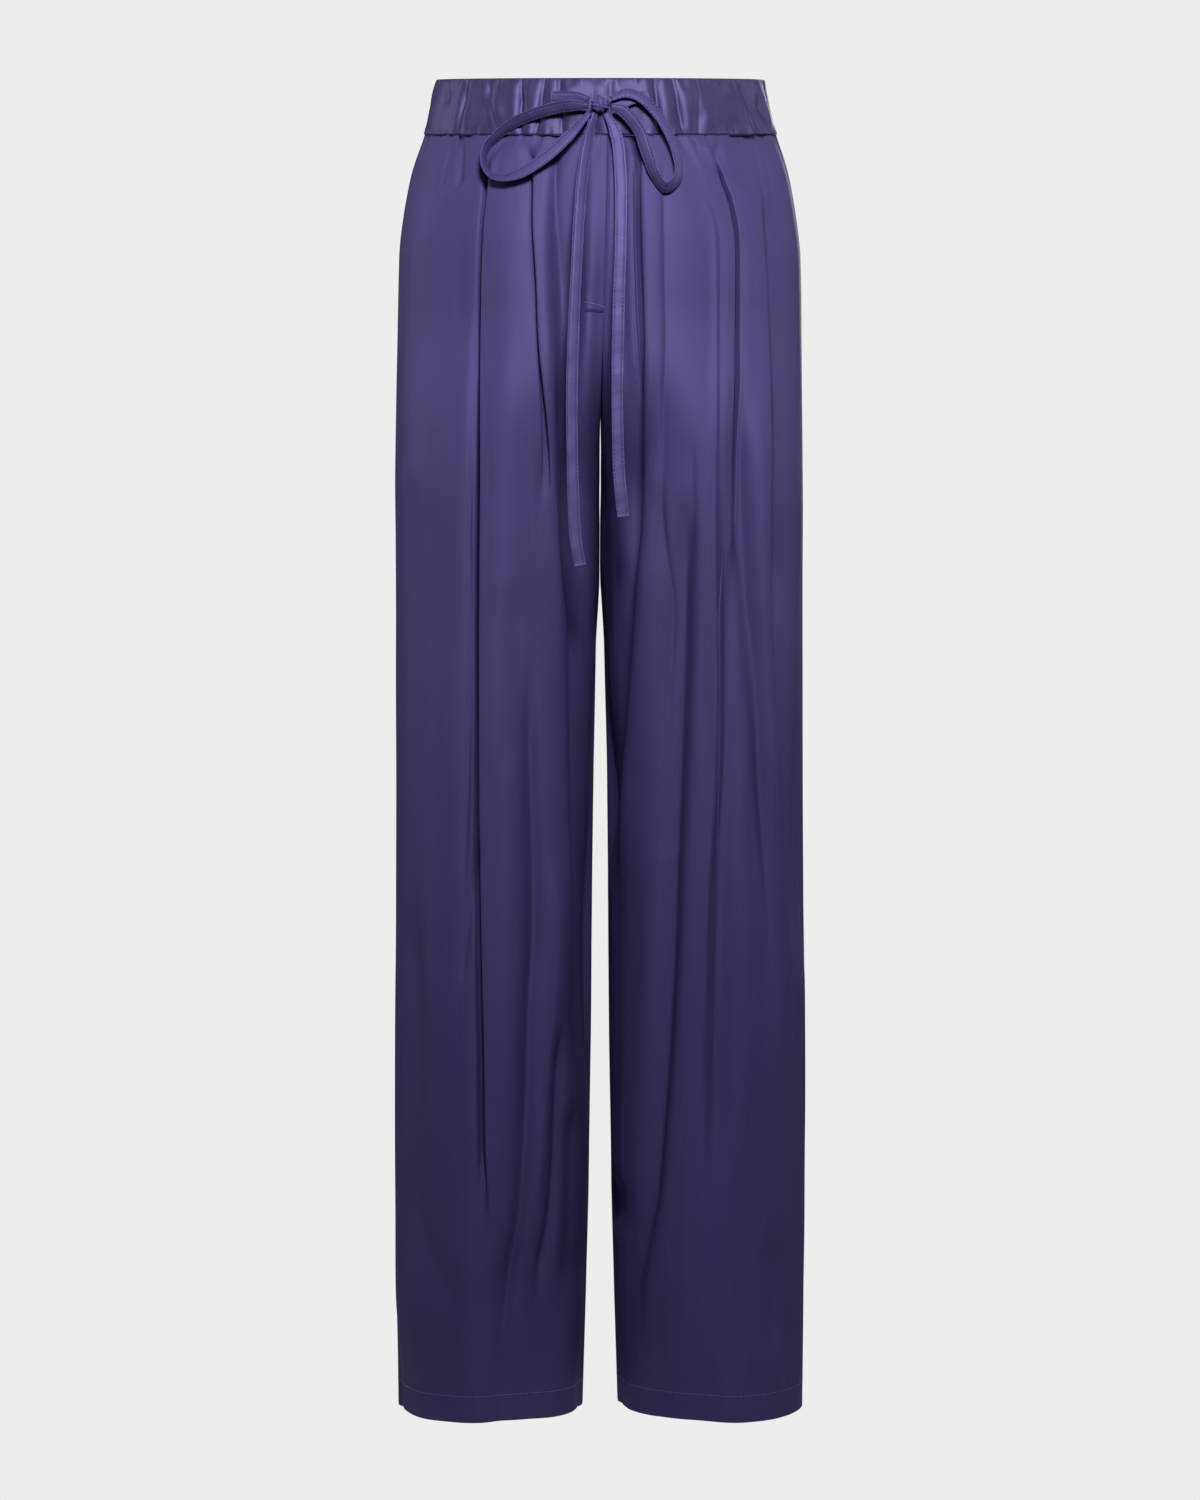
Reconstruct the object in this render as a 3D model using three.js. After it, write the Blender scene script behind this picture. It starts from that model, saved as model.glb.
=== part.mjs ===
// Pyjama pants in satin with a drawstring waist, filled out as if worn and held at the waist.
// Millimetres, +Z up, the front faces -Y. The origin is the middle of the waist, halfway up the waistband.
// Left and right are the wearer's, so the right leg is at -X.
import * as THREE from "three";

// Driving sizes
const CLOTH = 1.2; // wall of one layer of cloth
const SEAM_GAP = 0.3; // between two pieces that are sewn together
const BAND_TOP = 21; // top edge of the waistband at the side seam
const BAND_BOTTOM = -22; // its lower edge there
const BAND_WALL = 2.4; // folded band with its elastic, at the edges
const TILT_FRONT = 0.2; // drop of the waist towards the front, for each millimetre of depth
const TILT_BACK = 0.12; // and its rise towards the back
const TILT_FADE = 130; // height under the band over which the tilt dies away
const FORK_Z = -170; // where the centre seams start to curve in
const CROTCH_Z = -330;
const HEM_Z = { right: -1037, left: -1034 };
const HEM_DEPTH = 20; // turned up and stitched
const HEM_EXTRA = 0.9; // the turning, inside the leg
const HEM_STEP = 0.6; // half the height over which the wall thickens there
const THICKEST = 1.3; // a sloping wall is this much thicker across than it is upright, at most
const SHARPEST = 1.6; // longest mitre at a fold, in walls
const FRONT_FULLNESS = 0.85; // under 1 flattens the front and back of a leg
const CENTRE_SEAM_DRIFT = 6; // the centre front seam starts this far to the left at the waist

// Sections of the filled-out garment, from the waist down: height at the side seam, half width,
// reach to the front and to the back, and half the gap between the legs.
const SECTIONS = [
  { z: 21, side: 128.8, front: 92, back: 95, gap: 0.15 },
  { z: 0, side: 133.4, front: 94, back: 97, gap: 0.15 },
  { z: -22, side: 139.4, front: 96, back: 100, gap: 0.15 },
  { z: -42, side: 146.5, front: 101, back: 106, gap: 0.15 },
  { z: -58, side: 151, front: 104, back: 111, gap: 0.15 },
  { z: -90, side: 156.5, front: 109, back: 118, gap: 0.15 },
  { z: -122, side: 159.8, front: 113, back: 124, gap: 0.15 },
  { z: -218, side: 161, front: 118, back: 129, gap: 0.15 },
  { z: -330, side: 161.6, front: 116, back: 123, gap: 0.2 },
  { z: -378, side: 161.6, front: 114, back: 118, gap: 0.3 },
  { z: -425, side: 161.6, front: 111, back: 115, gap: 3 },
  { z: -520, side: 161.8, front: 108, back: 111, gap: 5.2 },
  { z: -740, side: 163, front: 99, back: 101, gap: 7.2 },
  { z: -860, side: 162.8, front: 94, back: 96, gap: 8.9 },
  { z: -950, side: 162, front: 90, back: 92, gap: 11.2 },
  { z: -1040, side: 161, front: 87, back: 88, gap: 13.8 },
];

// Heights of the rows of a panel, given at the side seam. The hem's own rows are added under them.
const FRONT_ROWS = [
  -29, -38, -50, -66, -86, -112, -145, -180, -216, -252, -290, -330,
  -378, -425, -475, -540, -640, -740, -860, -950,
];
const BACK_ROWS = [
  -29, -38, -52, -72, -100, -136, -178, -220, -262, -298, -330,
  -378, -430, -500, -600, -740, -860, -950,
];

// Pleats of the front, each a path down the cloth: x and z of its folded edge, how far the cloth
// under it lies below the flap, and how closed the fold is (1 overlapped, 0.5 a step, 0 flat).
const MAIN_PLEAT = [
  { z: -46, x: -84, drop: 0, fold: 0 },
  { z: -60, x: -86.5, drop: 4, fold: 0.5 },
  { z: -90, x: -88.5, drop: 5.5, fold: 1 },
  { z: -130, x: -91, drop: 5.5, fold: 1 },
  { z: -270, x: -91.5, drop: 6.5, fold: 1 },
  { z: -430, x: -93.5, drop: 6.5, fold: 1 },
  { z: -640, x: -91, drop: 5.5, fold: 1 },
  { z: -740, x: -89, drop: 4.5, fold: 0.75 },
  { z: -860, x: -87, drop: 3, fold: 0.5 },
  { z: -950, x: -86, drop: 0, fold: 0 },
];
const INNER_PLEAT = [
  { z: -42, x: -50, drop: 0, fold: 0 },
  { z: -60, x: -50, drop: 4, fold: 0.5 },
  { z: -90, x: -50, drop: 5.5, fold: 1 },
  { z: -132, x: -49.5, drop: 5.5, fold: 1 },
  { z: -180, x: -46, drop: 5.5, fold: 0.85 },
  { z: -216, x: -43.5, drop: 5.5, fold: 0.7 },
  { z: -252, x: -41, drop: 5, fold: 0.6 },
  { z: -290, x: -38, drop: 4, fold: 0.5 },
  { z: -345, x: -35, drop: 0, fold: 0 },
];
const STRIP_PLEAT = [
  { z: -46, x: 50, drop: 0, fold: 0 },
  { z: -66, x: 49, drop: 4, fold: 0.5 },
  { z: -100, x: 48, drop: 5.5, fold: 1 },
  { z: -132, x: 46.5, drop: 5.5, fold: 1 },
  { z: -216, x: 46, drop: 5, fold: 1 },
  { z: -252, x: 46, drop: 4.5, fold: 0.75 },
  { z: -290, x: 46, drop: 3.5, fold: 0.5 },
  { z: -345, x: 47, drop: 0, fold: 0 },
];
const PRESSED_CREASE = [
  { z: -22, x: 67, drop: 0, fold: 0 },
  { z: -62, x: 73, drop: 0, fold: 0 },
  { z: -84, x: 80, drop: 0, fold: 0 },
  { z: -110, x: 88.5, drop: 0.6, fold: 1 },
  { z: -140, x: 90.5, drop: 1.8, fold: 1 },
  { z: -236, x: 89.5, drop: 2.2, fold: 1 },
  { z: -363, x: 88, drop: 2.2, fold: 1 },
  { z: -425, x: 89.5, drop: 1.6, fold: 1 },
  { z: -475, x: 90, drop: 0, fold: 0 },
];
const SLANTED_PLEAT = [
  { z: -36, x: 84, drop: 0, fold: 0 },
  { z: -54, x: 89.5, drop: 4, fold: 0.5 },
  { z: -82, x: 97.5, drop: 5.5, fold: 1 },
  { z: -105, x: 102.5, drop: 5.5, fold: 1 },
  { z: -130, x: 105, drop: 7, fold: 1 },
  { z: -235, x: 103.5, drop: 9.5, fold: 1 },
  { z: -290, x: 102.5, drop: 10.5, fold: 1 },
  { z: -330, x: 104, drop: 10, fold: 0.5 },
  { z: -425, x: 108, drop: 8, fold: 0.5 },
  { z: -475, x: 111, drop: 5, fold: 0.5 },
  { z: -540, x: 115, drop: 0, fold: 0 },
];
// The edge of the mock fly: no fold of its own, but the cloth has a line of points under it.
const FLY_WIDTH = 18;
const FLY_BOTTOM = -182;
const FLY_LINE = [
  { z: -40, x: CENTRE_SEAM_DRIFT - FLY_WIDTH, drop: 0, fold: 1 },
  { z: -216, x: CENTRE_SEAM_DRIFT - FLY_WIDTH, drop: 0, fold: 1 },
  { z: -330, x: -18, drop: 0, fold: 0 },
];

// Soft folds: a path of x and z, half the width, and the height (under 0 it is a trough). Each rises
// and dies away over a share of its length at both ends.
const FOLD_EASE = 0.25;
const SOFT_FOLDS = {
  front_right: [
    { x: [-116, -119, -118, -116], z: [-62, -150, -178, -205], width: 5, height: -2.5 },
    { x: [-101, -100, -101, -100, -98], z: [-170, -300, -430, -560, -660], width: 7, height: -4 },
    { x: [-30, -35, -37], z: [-48, -98, -140], width: 3.5, height: -2.5 },
    { x: [-17, -22, -25, -22], z: [-60, -132, -193, -247], width: 6, height: -4 },
    { x: [-42, -37, -33, -31, -29, -28], z: [-200, -262, -340, -430, -640, -860], width: 7, height: 3.5 },
    { x: [-22, -17, -15, -14, -15], z: [-247, -330, -430, -640, -900], width: 7, height: -6 },
    { x: [-101, -103], z: [-590, -706], width: 4, height: -2.5 },
    { x: [-92, -93], z: [-870, -960], width: 20, height: 4 },
    { x: [-140, -136, -139], z: [-420, -640, -900], width: 10, height: -2.5 },
    { x: [-58, -52, -48], z: [-640, -800, -960], width: 8, height: -3 },
  ],
  front_left: [
    { x: [31, 31, 33, 36, 38], z: [-53, -92, -125, -172, -237], width: 3.5, height: -3 },
    { x: [20, 22, 24, 22, 16], z: [-80, -172, -247, -308, -370], width: 8, height: -5 },
    { x: [119, 125, 131, 136, 146], z: [-250, -390, -470, -580, -690], width: 8, height: 3.5 },
    { x: [63, 64, 63, 59, 53, 50], z: [-400, -480, -550, -610, -660, -740], width: 9, height: -5 },
    { x: [80, 76, 74, 70, 66], z: [-430, -520, -600, -700, -820], width: 9, height: 4 },
    { x: [94, 91, 88, 86, 88], z: [-470, -535, -570, -620, -680], width: 5, height: -4 },
    { x: [122, 127, 130], z: [-480, -535, -590], width: 5, height: -3 },
    { x: [14, 13, 15], z: [-430, -520, -640], width: 6, height: -4 },
    { x: [52, 50, 44], z: [-740, -820, -900], width: 8, height: -3 },
    { x: [132, 128], z: [-760, -960], width: 11, height: -2.5 },
  ],
  back_right: [
    { x: [-118, -121, -120, -117], z: [-60, -220, -420, -700], width: 8, height: -5 },
    { x: [-86, -90, -93], z: [-40, -150, -300], width: 6, height: -4 },
    { x: [-52, -56, -66, -70], z: [-40, -200, -420, -760], width: 9, height: -5 },
    { x: [-22, -26, -31], z: [-45, -130, -230], width: 6, height: -4 },
    { x: [-14, -34, -66], z: [-300, -345, -420], width: 8, height: -5 },
    { x: [-38, -40, -44], z: [-420, -600, -880], width: 9, height: 4 },
    { x: [-104, -98, -101], z: [-560, -760, -980], width: 10, height: 4 },
  ],
  back_left: [
    { x: [112, 117, 119, 121], z: [-50, -180, -400, -640], width: 8, height: -5 },
    { x: [78, 80, 86, 92], z: [-40, -130, -320, -520], width: 7, height: -5 },
    { x: [46, 49, 58, 66], z: [-42, -210, -460, -820], width: 9, height: -4 },
    { x: [19, 24, 27], z: [-45, -150, -260], width: 6, height: -4 },
    { x: [14, 38, 72], z: [-306, -350, -440], width: 8, height: -5 },
    { x: [36, 41, 45], z: [-440, -640, -900], width: 8, height: 4 },
    { x: [128, 134, 129], z: [-600, -800, -990], width: 10, height: 3 },
  ],
};

// Gathers at the band: every second column of points stands out and the next one goes in. The lowest
// and the tallest are these shares of the height.
const GATHERS = {
  front: { height: 1.3, shortest: 25, longest: 75 },
  back: { height: 1.8, shortest: 50, longest: 130 },
};
const GATHER_SPREAD = { lowest: 0.55, tallest: 1.3 };

// Sharp folds of the waistband: x at its top and at its bottom, and depth.
const BAND_FOLDS_FRONT = [
  { top: -102, bottom: -111, depth: 2.2 },
  { top: -86, bottom: -78, depth: 1.2 },
  { top: -60, bottom: -60, depth: 1.8 },
  { top: -45, bottom: -51, depth: 2 },
  { top: -31, bottom: -29, depth: 1.6 },
  { top: -6, bottom: -4, depth: 0.9 },
  { top: 8, bottom: 9, depth: 1.4 },
  { top: 41, bottom: 45, depth: 2 },
  { top: 61, bottom: 68, depth: 1.8 },
  { top: 91, bottom: 91, depth: 1 },
  { top: 112, bottom: 122, depth: 1.8 },
];
const BAND_FOLDS_BACK = [
  { top: -112, bottom: -119, depth: 1.8 },
  { top: -91, bottom: -90, depth: 2 },
  { top: -72, bottom: -77, depth: 1.5 },
  { top: -55, bottom: -54, depth: 2 },
  { top: -37, bottom: -41, depth: 1.7 },
  { top: -19, bottom: -18, depth: 2 },
  { top: -2, bottom: 1, depth: 1.6 },
  { top: 17, bottom: 19, depth: 2 },
  { top: 34, bottom: 32, depth: 1.6 },
  { top: 52, bottom: 56, depth: 2 },
  { top: 70, bottom: 71, depth: 1.5 },
  { top: 89, bottom: 94, depth: 2 },
  { top: 110, bottom: 114, depth: 1.7 },
];

// The drawstring is a flat tube of the same satin. Each route is chosen by hand: x and z across
// the front, how far it stands off the cloth, how far it is turned edge-on, in degrees, and its
// share of the full width where it is drawn together at the knot.
const RIBBON = { width: 9.5, thickness: 1.4, edge: 1, bevel: 0.45 };
const KNOT = { x: 0, z: -19, off: 8.6, radius: 8, depth: 4.6, height: 6.5 };
const TAIL_HANG = 7; // the tails hang this far in front of the cloth that they pass
const TAILS = {
  right: [
    { x: -4.2, z: -25.4, turn: 30, wide: 0.55 },
    { x: -9, z: -45, turn: 30 },
    { x: -13, z: -72, turn: 28 },
    { x: -15.5, z: -102, turn: 25 },
    { x: -17.6, z: -140, turn: 22 },
    { x: -20, z: -193, turn: 20 },
    { x: -21.4, z: -247, turn: 16 },
    { x: -20.6, z: -308, turn: 12 },
    { x: -18.5, z: -354, turn: 14 },
    { x: -15, z: -374, turn: 18 },
  ],
  left: [
    { x: 4.6, z: -25.3, turn: 14, wide: 0.55 },
    { x: 12, z: -41, turn: 8 },
    { x: 15.6, z: -71, turn: 5 },
    { x: 15.8, z: -125, turn: 4 },
    { x: 14.4, z: -171, turn: 6 },
    { x: 13.2, z: -247, turn: 9 },
    { x: 14.8, z: -308, turn: 12 },
    { x: 17.8, z: -337, turn: 14 },
  ],
};
const LOOPS = {
  right: [
    { x: -8.8, z: -20.5, off: 9, turn: 30, wide: 0.5 },
    { x: -22, z: -20, off: 10, turn: 35 },
    { x: -42, z: -23, off: 9, turn: 35 },
    { x: -62, z: -29, off: 8, turn: 40 },
    { x: -79, z: -39, off: 7.5, turn: 50 },
    { x: -88.5, z: -50, off: 7.5, turn: 60 },
    { x: -90, z: -61, off: 8, turn: 64 },
    { x: -85.5, z: -70.5, off: 8, turn: 64 },
    { x: -75, z: -75, off: 8, turn: 54 },
    { x: -61, z: -72, off: 8, turn: 32 },
    { x: -43, z: -61, off: 8.5, turn: 20 },
    { x: -25, z: -45, off: 10, turn: 20 },
    { x: -7.6, z: -26, off: 11, turn: 25, wide: 0.5 },
  ],
  left: [
    { x: 8.4, z: -15, off: 10, turn: 30, wide: 0.5 },
    { x: 21, z: -10, off: 9, turn: 30 },
    { x: 36, z: -17, off: 9, turn: 30 },
    { x: 50, z: -35, off: 9, turn: 35 },
    { x: 59, z: -58, off: 8.5, turn: 45 },
    { x: 59.5, z: -75, off: 8, turn: 50 },
    { x: 50, z: -84, off: 8, turn: 50 },
    { x: 42, z: -74, off: 9, turn: 40 },
    { x: 36, z: -57, off: 10, turn: 25 },
    { x: 29, z: -38, off: 11, turn: 20 },
    { x: 17, z: -24.5, off: 12, turn: 20 },
    { x: 8.2, z: -22, off: 12, turn: 20, wide: 0.5 },
  ],
};
const STRANDS = {
  right: [
    { x: -8.3, z: -15.5, off: 7.4, turn: 20, wide: 0.5 },
    { x: -17, z: -13.5, off: 6.6, turn: 18 },
    { x: -28, z: -12.5, off: 5.9, turn: 14 },
    { x: -38, z: -12, off: 5.2, turn: 8 },
  ],
  left: [
    { x: 8.6, z: -19, off: 7.2, turn: 20, wide: 0.5 },
    { x: 17, z: -17.5, off: 6.6, turn: 18 },
    { x: 28, z: -13, off: 5.9, turn: 14 },
    { x: 38, z: -10, off: 5.2, turn: 8 },
  ],
};

// Materials
const satin = new THREE.MeshStandardMaterial({ color: 0x4a4275, roughness: 0.42, metalness: 0 });
const bandSatin = new THREE.MeshStandardMaterial({ color: 0x524a80, roughness: 0.42, metalness: 0 });
const ribbonSatin = new THREE.MeshStandardMaterial({ color: 0x5d548f, roughness: 0.4, metalness: 0 });

const mix = (a, b, share) => a + (b - a) * share;
const clamp = (value, low, high) => Math.min(high, Math.max(low, value));
const smooth = (value) => {
  const t = clamp(value, 0, 1);
  return t * t * (3 - 2 * t);
};
// A steady number from 0 to 1 for a whole number.
const chance = (n) => {
  const wave = Math.sin(n * 12.9898 + 4.1) * 43758.5453;
  return wave - Math.floor(wave);
};

// The value of one column of a table at a height, as a smooth curve through its rows (falling z).
function column(rows, key, z) {
  const last = rows.length - 1;
  if (z >= rows[0].z) return rows[0][key];
  if (z <= rows[last].z) return rows[last][key];
  let i = 0;
  while (rows[i + 1].z > z) i += 1;
  const slope = (j) => {
    const before = rows[Math.max(0, j - 1)];
    const after = rows[Math.min(last, j + 1)];
    return (after[key] - before[key]) / (after.z - before.z);
  };
  const step = rows[i + 1].z - rows[i].z;
  const t = (z - rows[i].z) / step;
  const t2 = t * t;
  const t3 = t2 * t;
  return (
    (2 * t3 - 3 * t2 + 1) * rows[i][key] +
    (t3 - 2 * t2 + t) * step * slope(i) +
    (3 * t2 - 2 * t3) * rows[i + 1][key] +
    (t3 - t2) * step * slope(i + 1)
  );
}

// The same without overshoot, for drops and folds.
function plain(rows, key, z) {
  const last = rows.length - 1;
  if (z >= rows[0].z) return rows[0][key];
  if (z <= rows[last].z) return rows[last][key];
  let i = 0;
  while (rows[i + 1].z > z) i += 1;
  return mix(rows[i][key], rows[i + 1][key], (rows[i].z - z) / (rows[i].z - rows[i + 1].z));
}

// How far the centre seam is from the middle plane at a height.
const centreSeam = (z, face) => (face < 0 ? CENTRE_SEAM_DRIFT * smooth((z - CROTCH_Z) / (BAND_BOTTOM - CROTCH_Z)) : 0);

// Rise of a point at depth y over its height at the side seam.
function tilt(y, z) {
  const fade = z > BAND_BOTTOM ? 1 : smooth(1 - (BAND_BOTTOM - z) / TILT_FADE);
  return y * (y < 0 ? TILT_FRONT : TILT_BACK) * fade;
}

// Half body and half leg reach their greatest depth at different places, so a mixture of the two is
// deepened until it reaches as far as either.
function fullness(leg) {
  const STEPS = 32;
  let reach = 0;
  for (let i = 0; i <= STEPS; i += 1) {
    const angle = (i / STEPS) * Math.PI;
    reach = Math.max(reach, mix(Math.sin(angle / 2), Math.max(0, Math.sin(angle)) ** FRONT_FULLNESS, leg));
  }
  return 1 / reach;
}

// The bare section of one panel at a height: u runs from the side seam (0) to the centre seam or
// the inside leg (1). Above the fork it is a quarter of the body, under the crotch half a leg.
function bare(panel, z, u) {
  const side = column(SECTIONS, "side", z);
  const depth = column(SECTIONS, panel.face < 0 ? "front" : "back", z);
  const inside = plain(SECTIONS, "gap", z) + CLOTH / 2;
  const t = clamp((FORK_Z - z) / (FORK_Z - CROTCH_Z), 0, 1);
  const leg = (t * t * (3 - t)) / 2;
  const body = {
    x: mix(side, SEAM_GAP / 2, 1 - Math.cos((u * Math.PI) / 2)),
    y: depth * Math.sin((u * Math.PI) / 2),
  };
  const tube = {
    x: (side + inside) / 2 + ((side - inside) / 2) * Math.cos(u * Math.PI),
    y: depth * Math.sin(u * Math.PI) ** FRONT_FULLNESS,
  };
  const seam = centreSeam(z, panel.face) * u ** 3;
  return {
    x: panel.side * mix(body.x, tube.x, leg) + seam,
    y: panel.face * (mix(body.y, tube.y, leg) * fullness(leg) + SEAM_GAP / 2),
  };
}

// The section as a line that can be read by arc length, with its outward normals.
function sectionLine(panel, z) {
  const STEPS = 96;
  const points = [];
  for (let i = 0; i <= STEPS; i += 1) points.push(bare(panel, z, i / STEPS));
  const lengths = [0];
  for (let i = 1; i <= STEPS; i += 1)
    lengths.push(lengths[i - 1] + Math.hypot(points[i].x - points[i - 1].x, points[i].y - points[i - 1].y));
  const total = lengths[STEPS];
  const at = (distance) => {
    const s = clamp(distance, 0, total);
    let i = 0;
    while (i < STEPS - 1 && lengths[i + 1] < s) i += 1;
    const share = (s - lengths[i]) / (lengths[i + 1] - lengths[i]);
    const a = points[i];
    const b = points[i + 1];
    const before = points[Math.max(0, i - 2)];
    const after = points[Math.min(STEPS, i + 3)];
    const run = Math.hypot(after.x - before.x, after.y - before.y);
    const turn = panel.side * panel.face;
    return {
      x: mix(a.x, b.x, share),
      y: mix(a.y, b.y, share),
      nx: (turn * (after.y - before.y)) / run,
      ny: (-turn * (after.x - before.x)) / run,
    };
  };
  const distanceOf = (x) => {
    let i = 0;
    while (i < STEPS - 1 && panel.side * points[i + 1].x > panel.side * x) i += 1;
    const share = clamp((x - points[i].x) / (points[i + 1].x - points[i].x || 1), 0, 1);
    return mix(lengths[i], lengths[i + 1], share);
  };
  return { total, at, distanceOf };
}

// The soft folds' height at a place on a panel.
function softHeight(panel, x, z) {
  let height = 0;
  for (const fold of SOFT_FOLDS[panel.folds]) {
    const rows = fold.z.map((level, i) => ({ z: level, x: fold.x[i] }));
    const top = rows[0].z;
    const bottom = rows[rows.length - 1].z;
    const ease = (top - bottom) * FOLD_EASE;
    const fade = smooth((top + ease / 2 - z) / ease) * smooth((z - bottom + ease / 2) / ease);
    const away = (x - column(rows, "x", z)) / fold.width;
    height += (fold.height * fade) / Math.exp((away * away) / 2);
  }
  return height;
}

// Cross sections of a fold, from the cloth under it to the flap over it.
const FLAP_REACH = 9; // of the flap's rise behind its edge
const UNDER_REACH = 14; // of the hollow beside the edge
const FLAT_STEP = 3; // between the points of a fold where it has opened out flat
const OVERLAP = 5;
const LAYER = 2.4; // from one layer's middle to the next
const TURN = 1.2; // of a turned edge
const UNDER_SHARE = 0.55; // of the drop that is under the bare section, the rest is over it
// The same points where the fold is a step: places across and heights in shares of the drop.
const STEP_ACROSS = [-UNDER_REACH, -UNDER_REACH / 2, -4, -2.4, -1.2, -0.2, 0.8, 1.8, 3, FLAP_REACH];
const STEP_SHARE = [0, -0.41, -0.55, -0.48, -0.3, -0.08, 0.14, 0.32, 0.45, 0.16];
function knifeSection(drop, fold) {
  const low = -UNDER_SHARE * drop;
  const high = drop + low;
  const closed = [
    { across: -UNDER_REACH, height: 0 },
    { across: -UNDER_REACH / 2, height: low * 0.75 },
    { across: -1, height: low },
    { across: OVERLAP, height: low },
    { across: OVERLAP + TURN, height: low + LAYER / 2 },
    { across: OVERLAP, height: low + LAYER },
    { across: TURN / 2, height: high - LAYER },
    { across: -TURN / 2, height: high - LAYER / 2 },
    { across: TURN / 2, height: high },
    { across: FLAP_REACH, height: high * 0.35 },
  ];
  const share = clamp(2 * fold - 1, 0, 1);
  return closed.map((point, i) => ({
    across: mix(STEP_ACROSS[i], point.across, share),
    height: mix(STEP_SHARE[i] * drop, point.height, share),
  }));
}
const creaseSection = (drop) => [
  { across: -4, height: -0.2 * drop },
  { across: 0, height: drop },
  { across: 3, height: -0.3 * drop },
];
const lineSection = () => [{ across: 0, height: 0 }];
const SECTION_OF = { knife: knifeSection, crease: creaseSection, line: lineSection };

// One row of a panel's middle surface. Columns run from the side seam to the centre.
function panelRow(panel, rowZ, top) {
  const line = sectionLine(panel, rowZ);
  const places = [];
  const heights = [];
  const fixed = [];
  const calm = [];
  const count = panel.columns;
  const put = (place, height, isFixed, folded = 0) => {
    places.push(place);
    heights.push(height);
    fixed.push(isFixed);
    calm.push(1 - folded);
  };
  panel.pleats.forEach((pleat, order) => {
    for (let i = 0; i < panel.fills[order]; i += 1) put(0, 0, places.length === 0);
    let z = rowZ;
    let start = 0;
    for (let round = 0; round < 2; round += 1) {
      start = line.distanceOf(column(pleat.path, "x", z));
      z = rowZ + tilt(line.at(start).y, rowZ);
    }
    const drop = plain(pleat.path, "drop", z);
    const fold = plain(pleat.path, "fold", z);
    const spread = clamp(2 * fold, 0, 1);
    const section = SECTION_OF[pleat.kind](drop, fold);
    // A flap on the side nearer the side seam reads the section the other way round.
    const points = pleat.flap === "side" ? section.map((p) => ({ across: -p.across, height: p.height })).reverse() : section;
    const middle = (points.length - 1) / 2;
    points.forEach((point, i) => {
      put(start + mix((i - middle) * FLAT_STEP, point.across, spread), point.height * spread, true, spread);
    });
  });
  for (let i = 0; i < panel.fills[panel.pleats.length]; i += 1) put(0, 0, i === panel.fills[panel.pleats.length] - 1);
  places[0] = 0;
  places[count - 1] = line.total;
  // What lies between two fixed columns is spread evenly.
  let from = 0;
  for (let i = 1; i < count; i += 1) {
    if (!fixed[i]) continue;
    for (let j = from + 1; j < i; j += 1) {
      const share = (j - from) / (i - from);
      places[j] = mix(places[from], places[i], share);
      heights[j] = mix(heights[from], heights[i], smooth(share));
    }
    from = i;
  }
  const gather = GATHERS[panel.face < 0 ? "front" : "back"];
  return places.map((place, i) => {
    const at = line.at(place);
    const z = rowZ + tilt(at.y, rowZ);
    const reach = mix(gather.shortest, gather.longest, chance(i + panel.seed));
    const fade = clamp(1 - (top - rowZ) / reach, 0, 1);
    const tall = mix(GATHER_SPREAD.lowest, GATHER_SPREAD.tallest, chance(i * 3 + panel.seed));
    const strength = gather.height * tall * fade * fade;
    const wave = i === 0 || i === count - 1 ? 0 : strength * calm[i] * (i % 2 ? 1 : -1);
    const away = heights[i] + softHeight(panel, at.x, z) * panelEdge(i, count) + wave;
    return { x: at.x + at.nx * away, y: at.y + at.ny * away, z, open: calm[i] };
  });
}

// Soft folds stay off the seams, where four walls meet.
const panelEdge = (i, count) => smooth(Math.min(i, count - 1 - i) / 2);

// The outward direction at each point of a row, with its mitre, and the thickening for a slope.
function rowNormals(grid, r, panel) {
  const row = grid[r];
  const turn = panel.side * panel.face;
  return row.map((point, c) => {
    const before = row[Math.max(0, c - 1)];
    const after = row[Math.min(row.length - 1, c + 1)];
    const unit = (a, b) => {
      const run = Math.hypot(b.x - a.x, b.y - a.y) || 1;
      return { x: (turn * (b.y - a.y)) / run, y: (-turn * (b.x - a.x)) / run };
    };
    const first = c === 0 ? unit(point, after) : unit(before, point);
    const second = c === row.length - 1 ? first : unit(point, after);
    const sum = { x: first.x + second.x, y: first.y + second.y };
    const size = Math.hypot(sum.x, sum.y) || 1;
    const mitre = Math.min(SHARPEST, 2 / size);
    const n = { x: sum.x / size, y: sum.y / size };
    const above = grid[Math.max(0, r - 1)][c];
    const below = grid[Math.min(grid.length - 1, r + 1)][c];
    const lean = ((above.x - below.x) * n.x + (above.y - below.y) * n.y) / (above.z - below.z);
    const slope = mix(1, Math.min(THICKEST, Math.hypot(1, lean)), point.open);
    return { x: n.x * mitre * slope, y: n.y * mitre * slope };
  });
}

// Keeps a face of the wall on its own side of the centre seam and of the side seam or inside leg.
function keepSide(point, panel, atEnd) {
  const seam = centreSeam(point.z, panel.face);
  const limit = seam + (panel.side * SEAM_GAP) / 2;
  const x = panel.side * point.x < panel.side * limit ? limit : point.x;
  const y = atEnd && panel.face * point.y < SEAM_GAP / 2 ? (panel.face * SEAM_GAP) / 2 : point.y;
  return { x, y, z: point.z };
}

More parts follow.
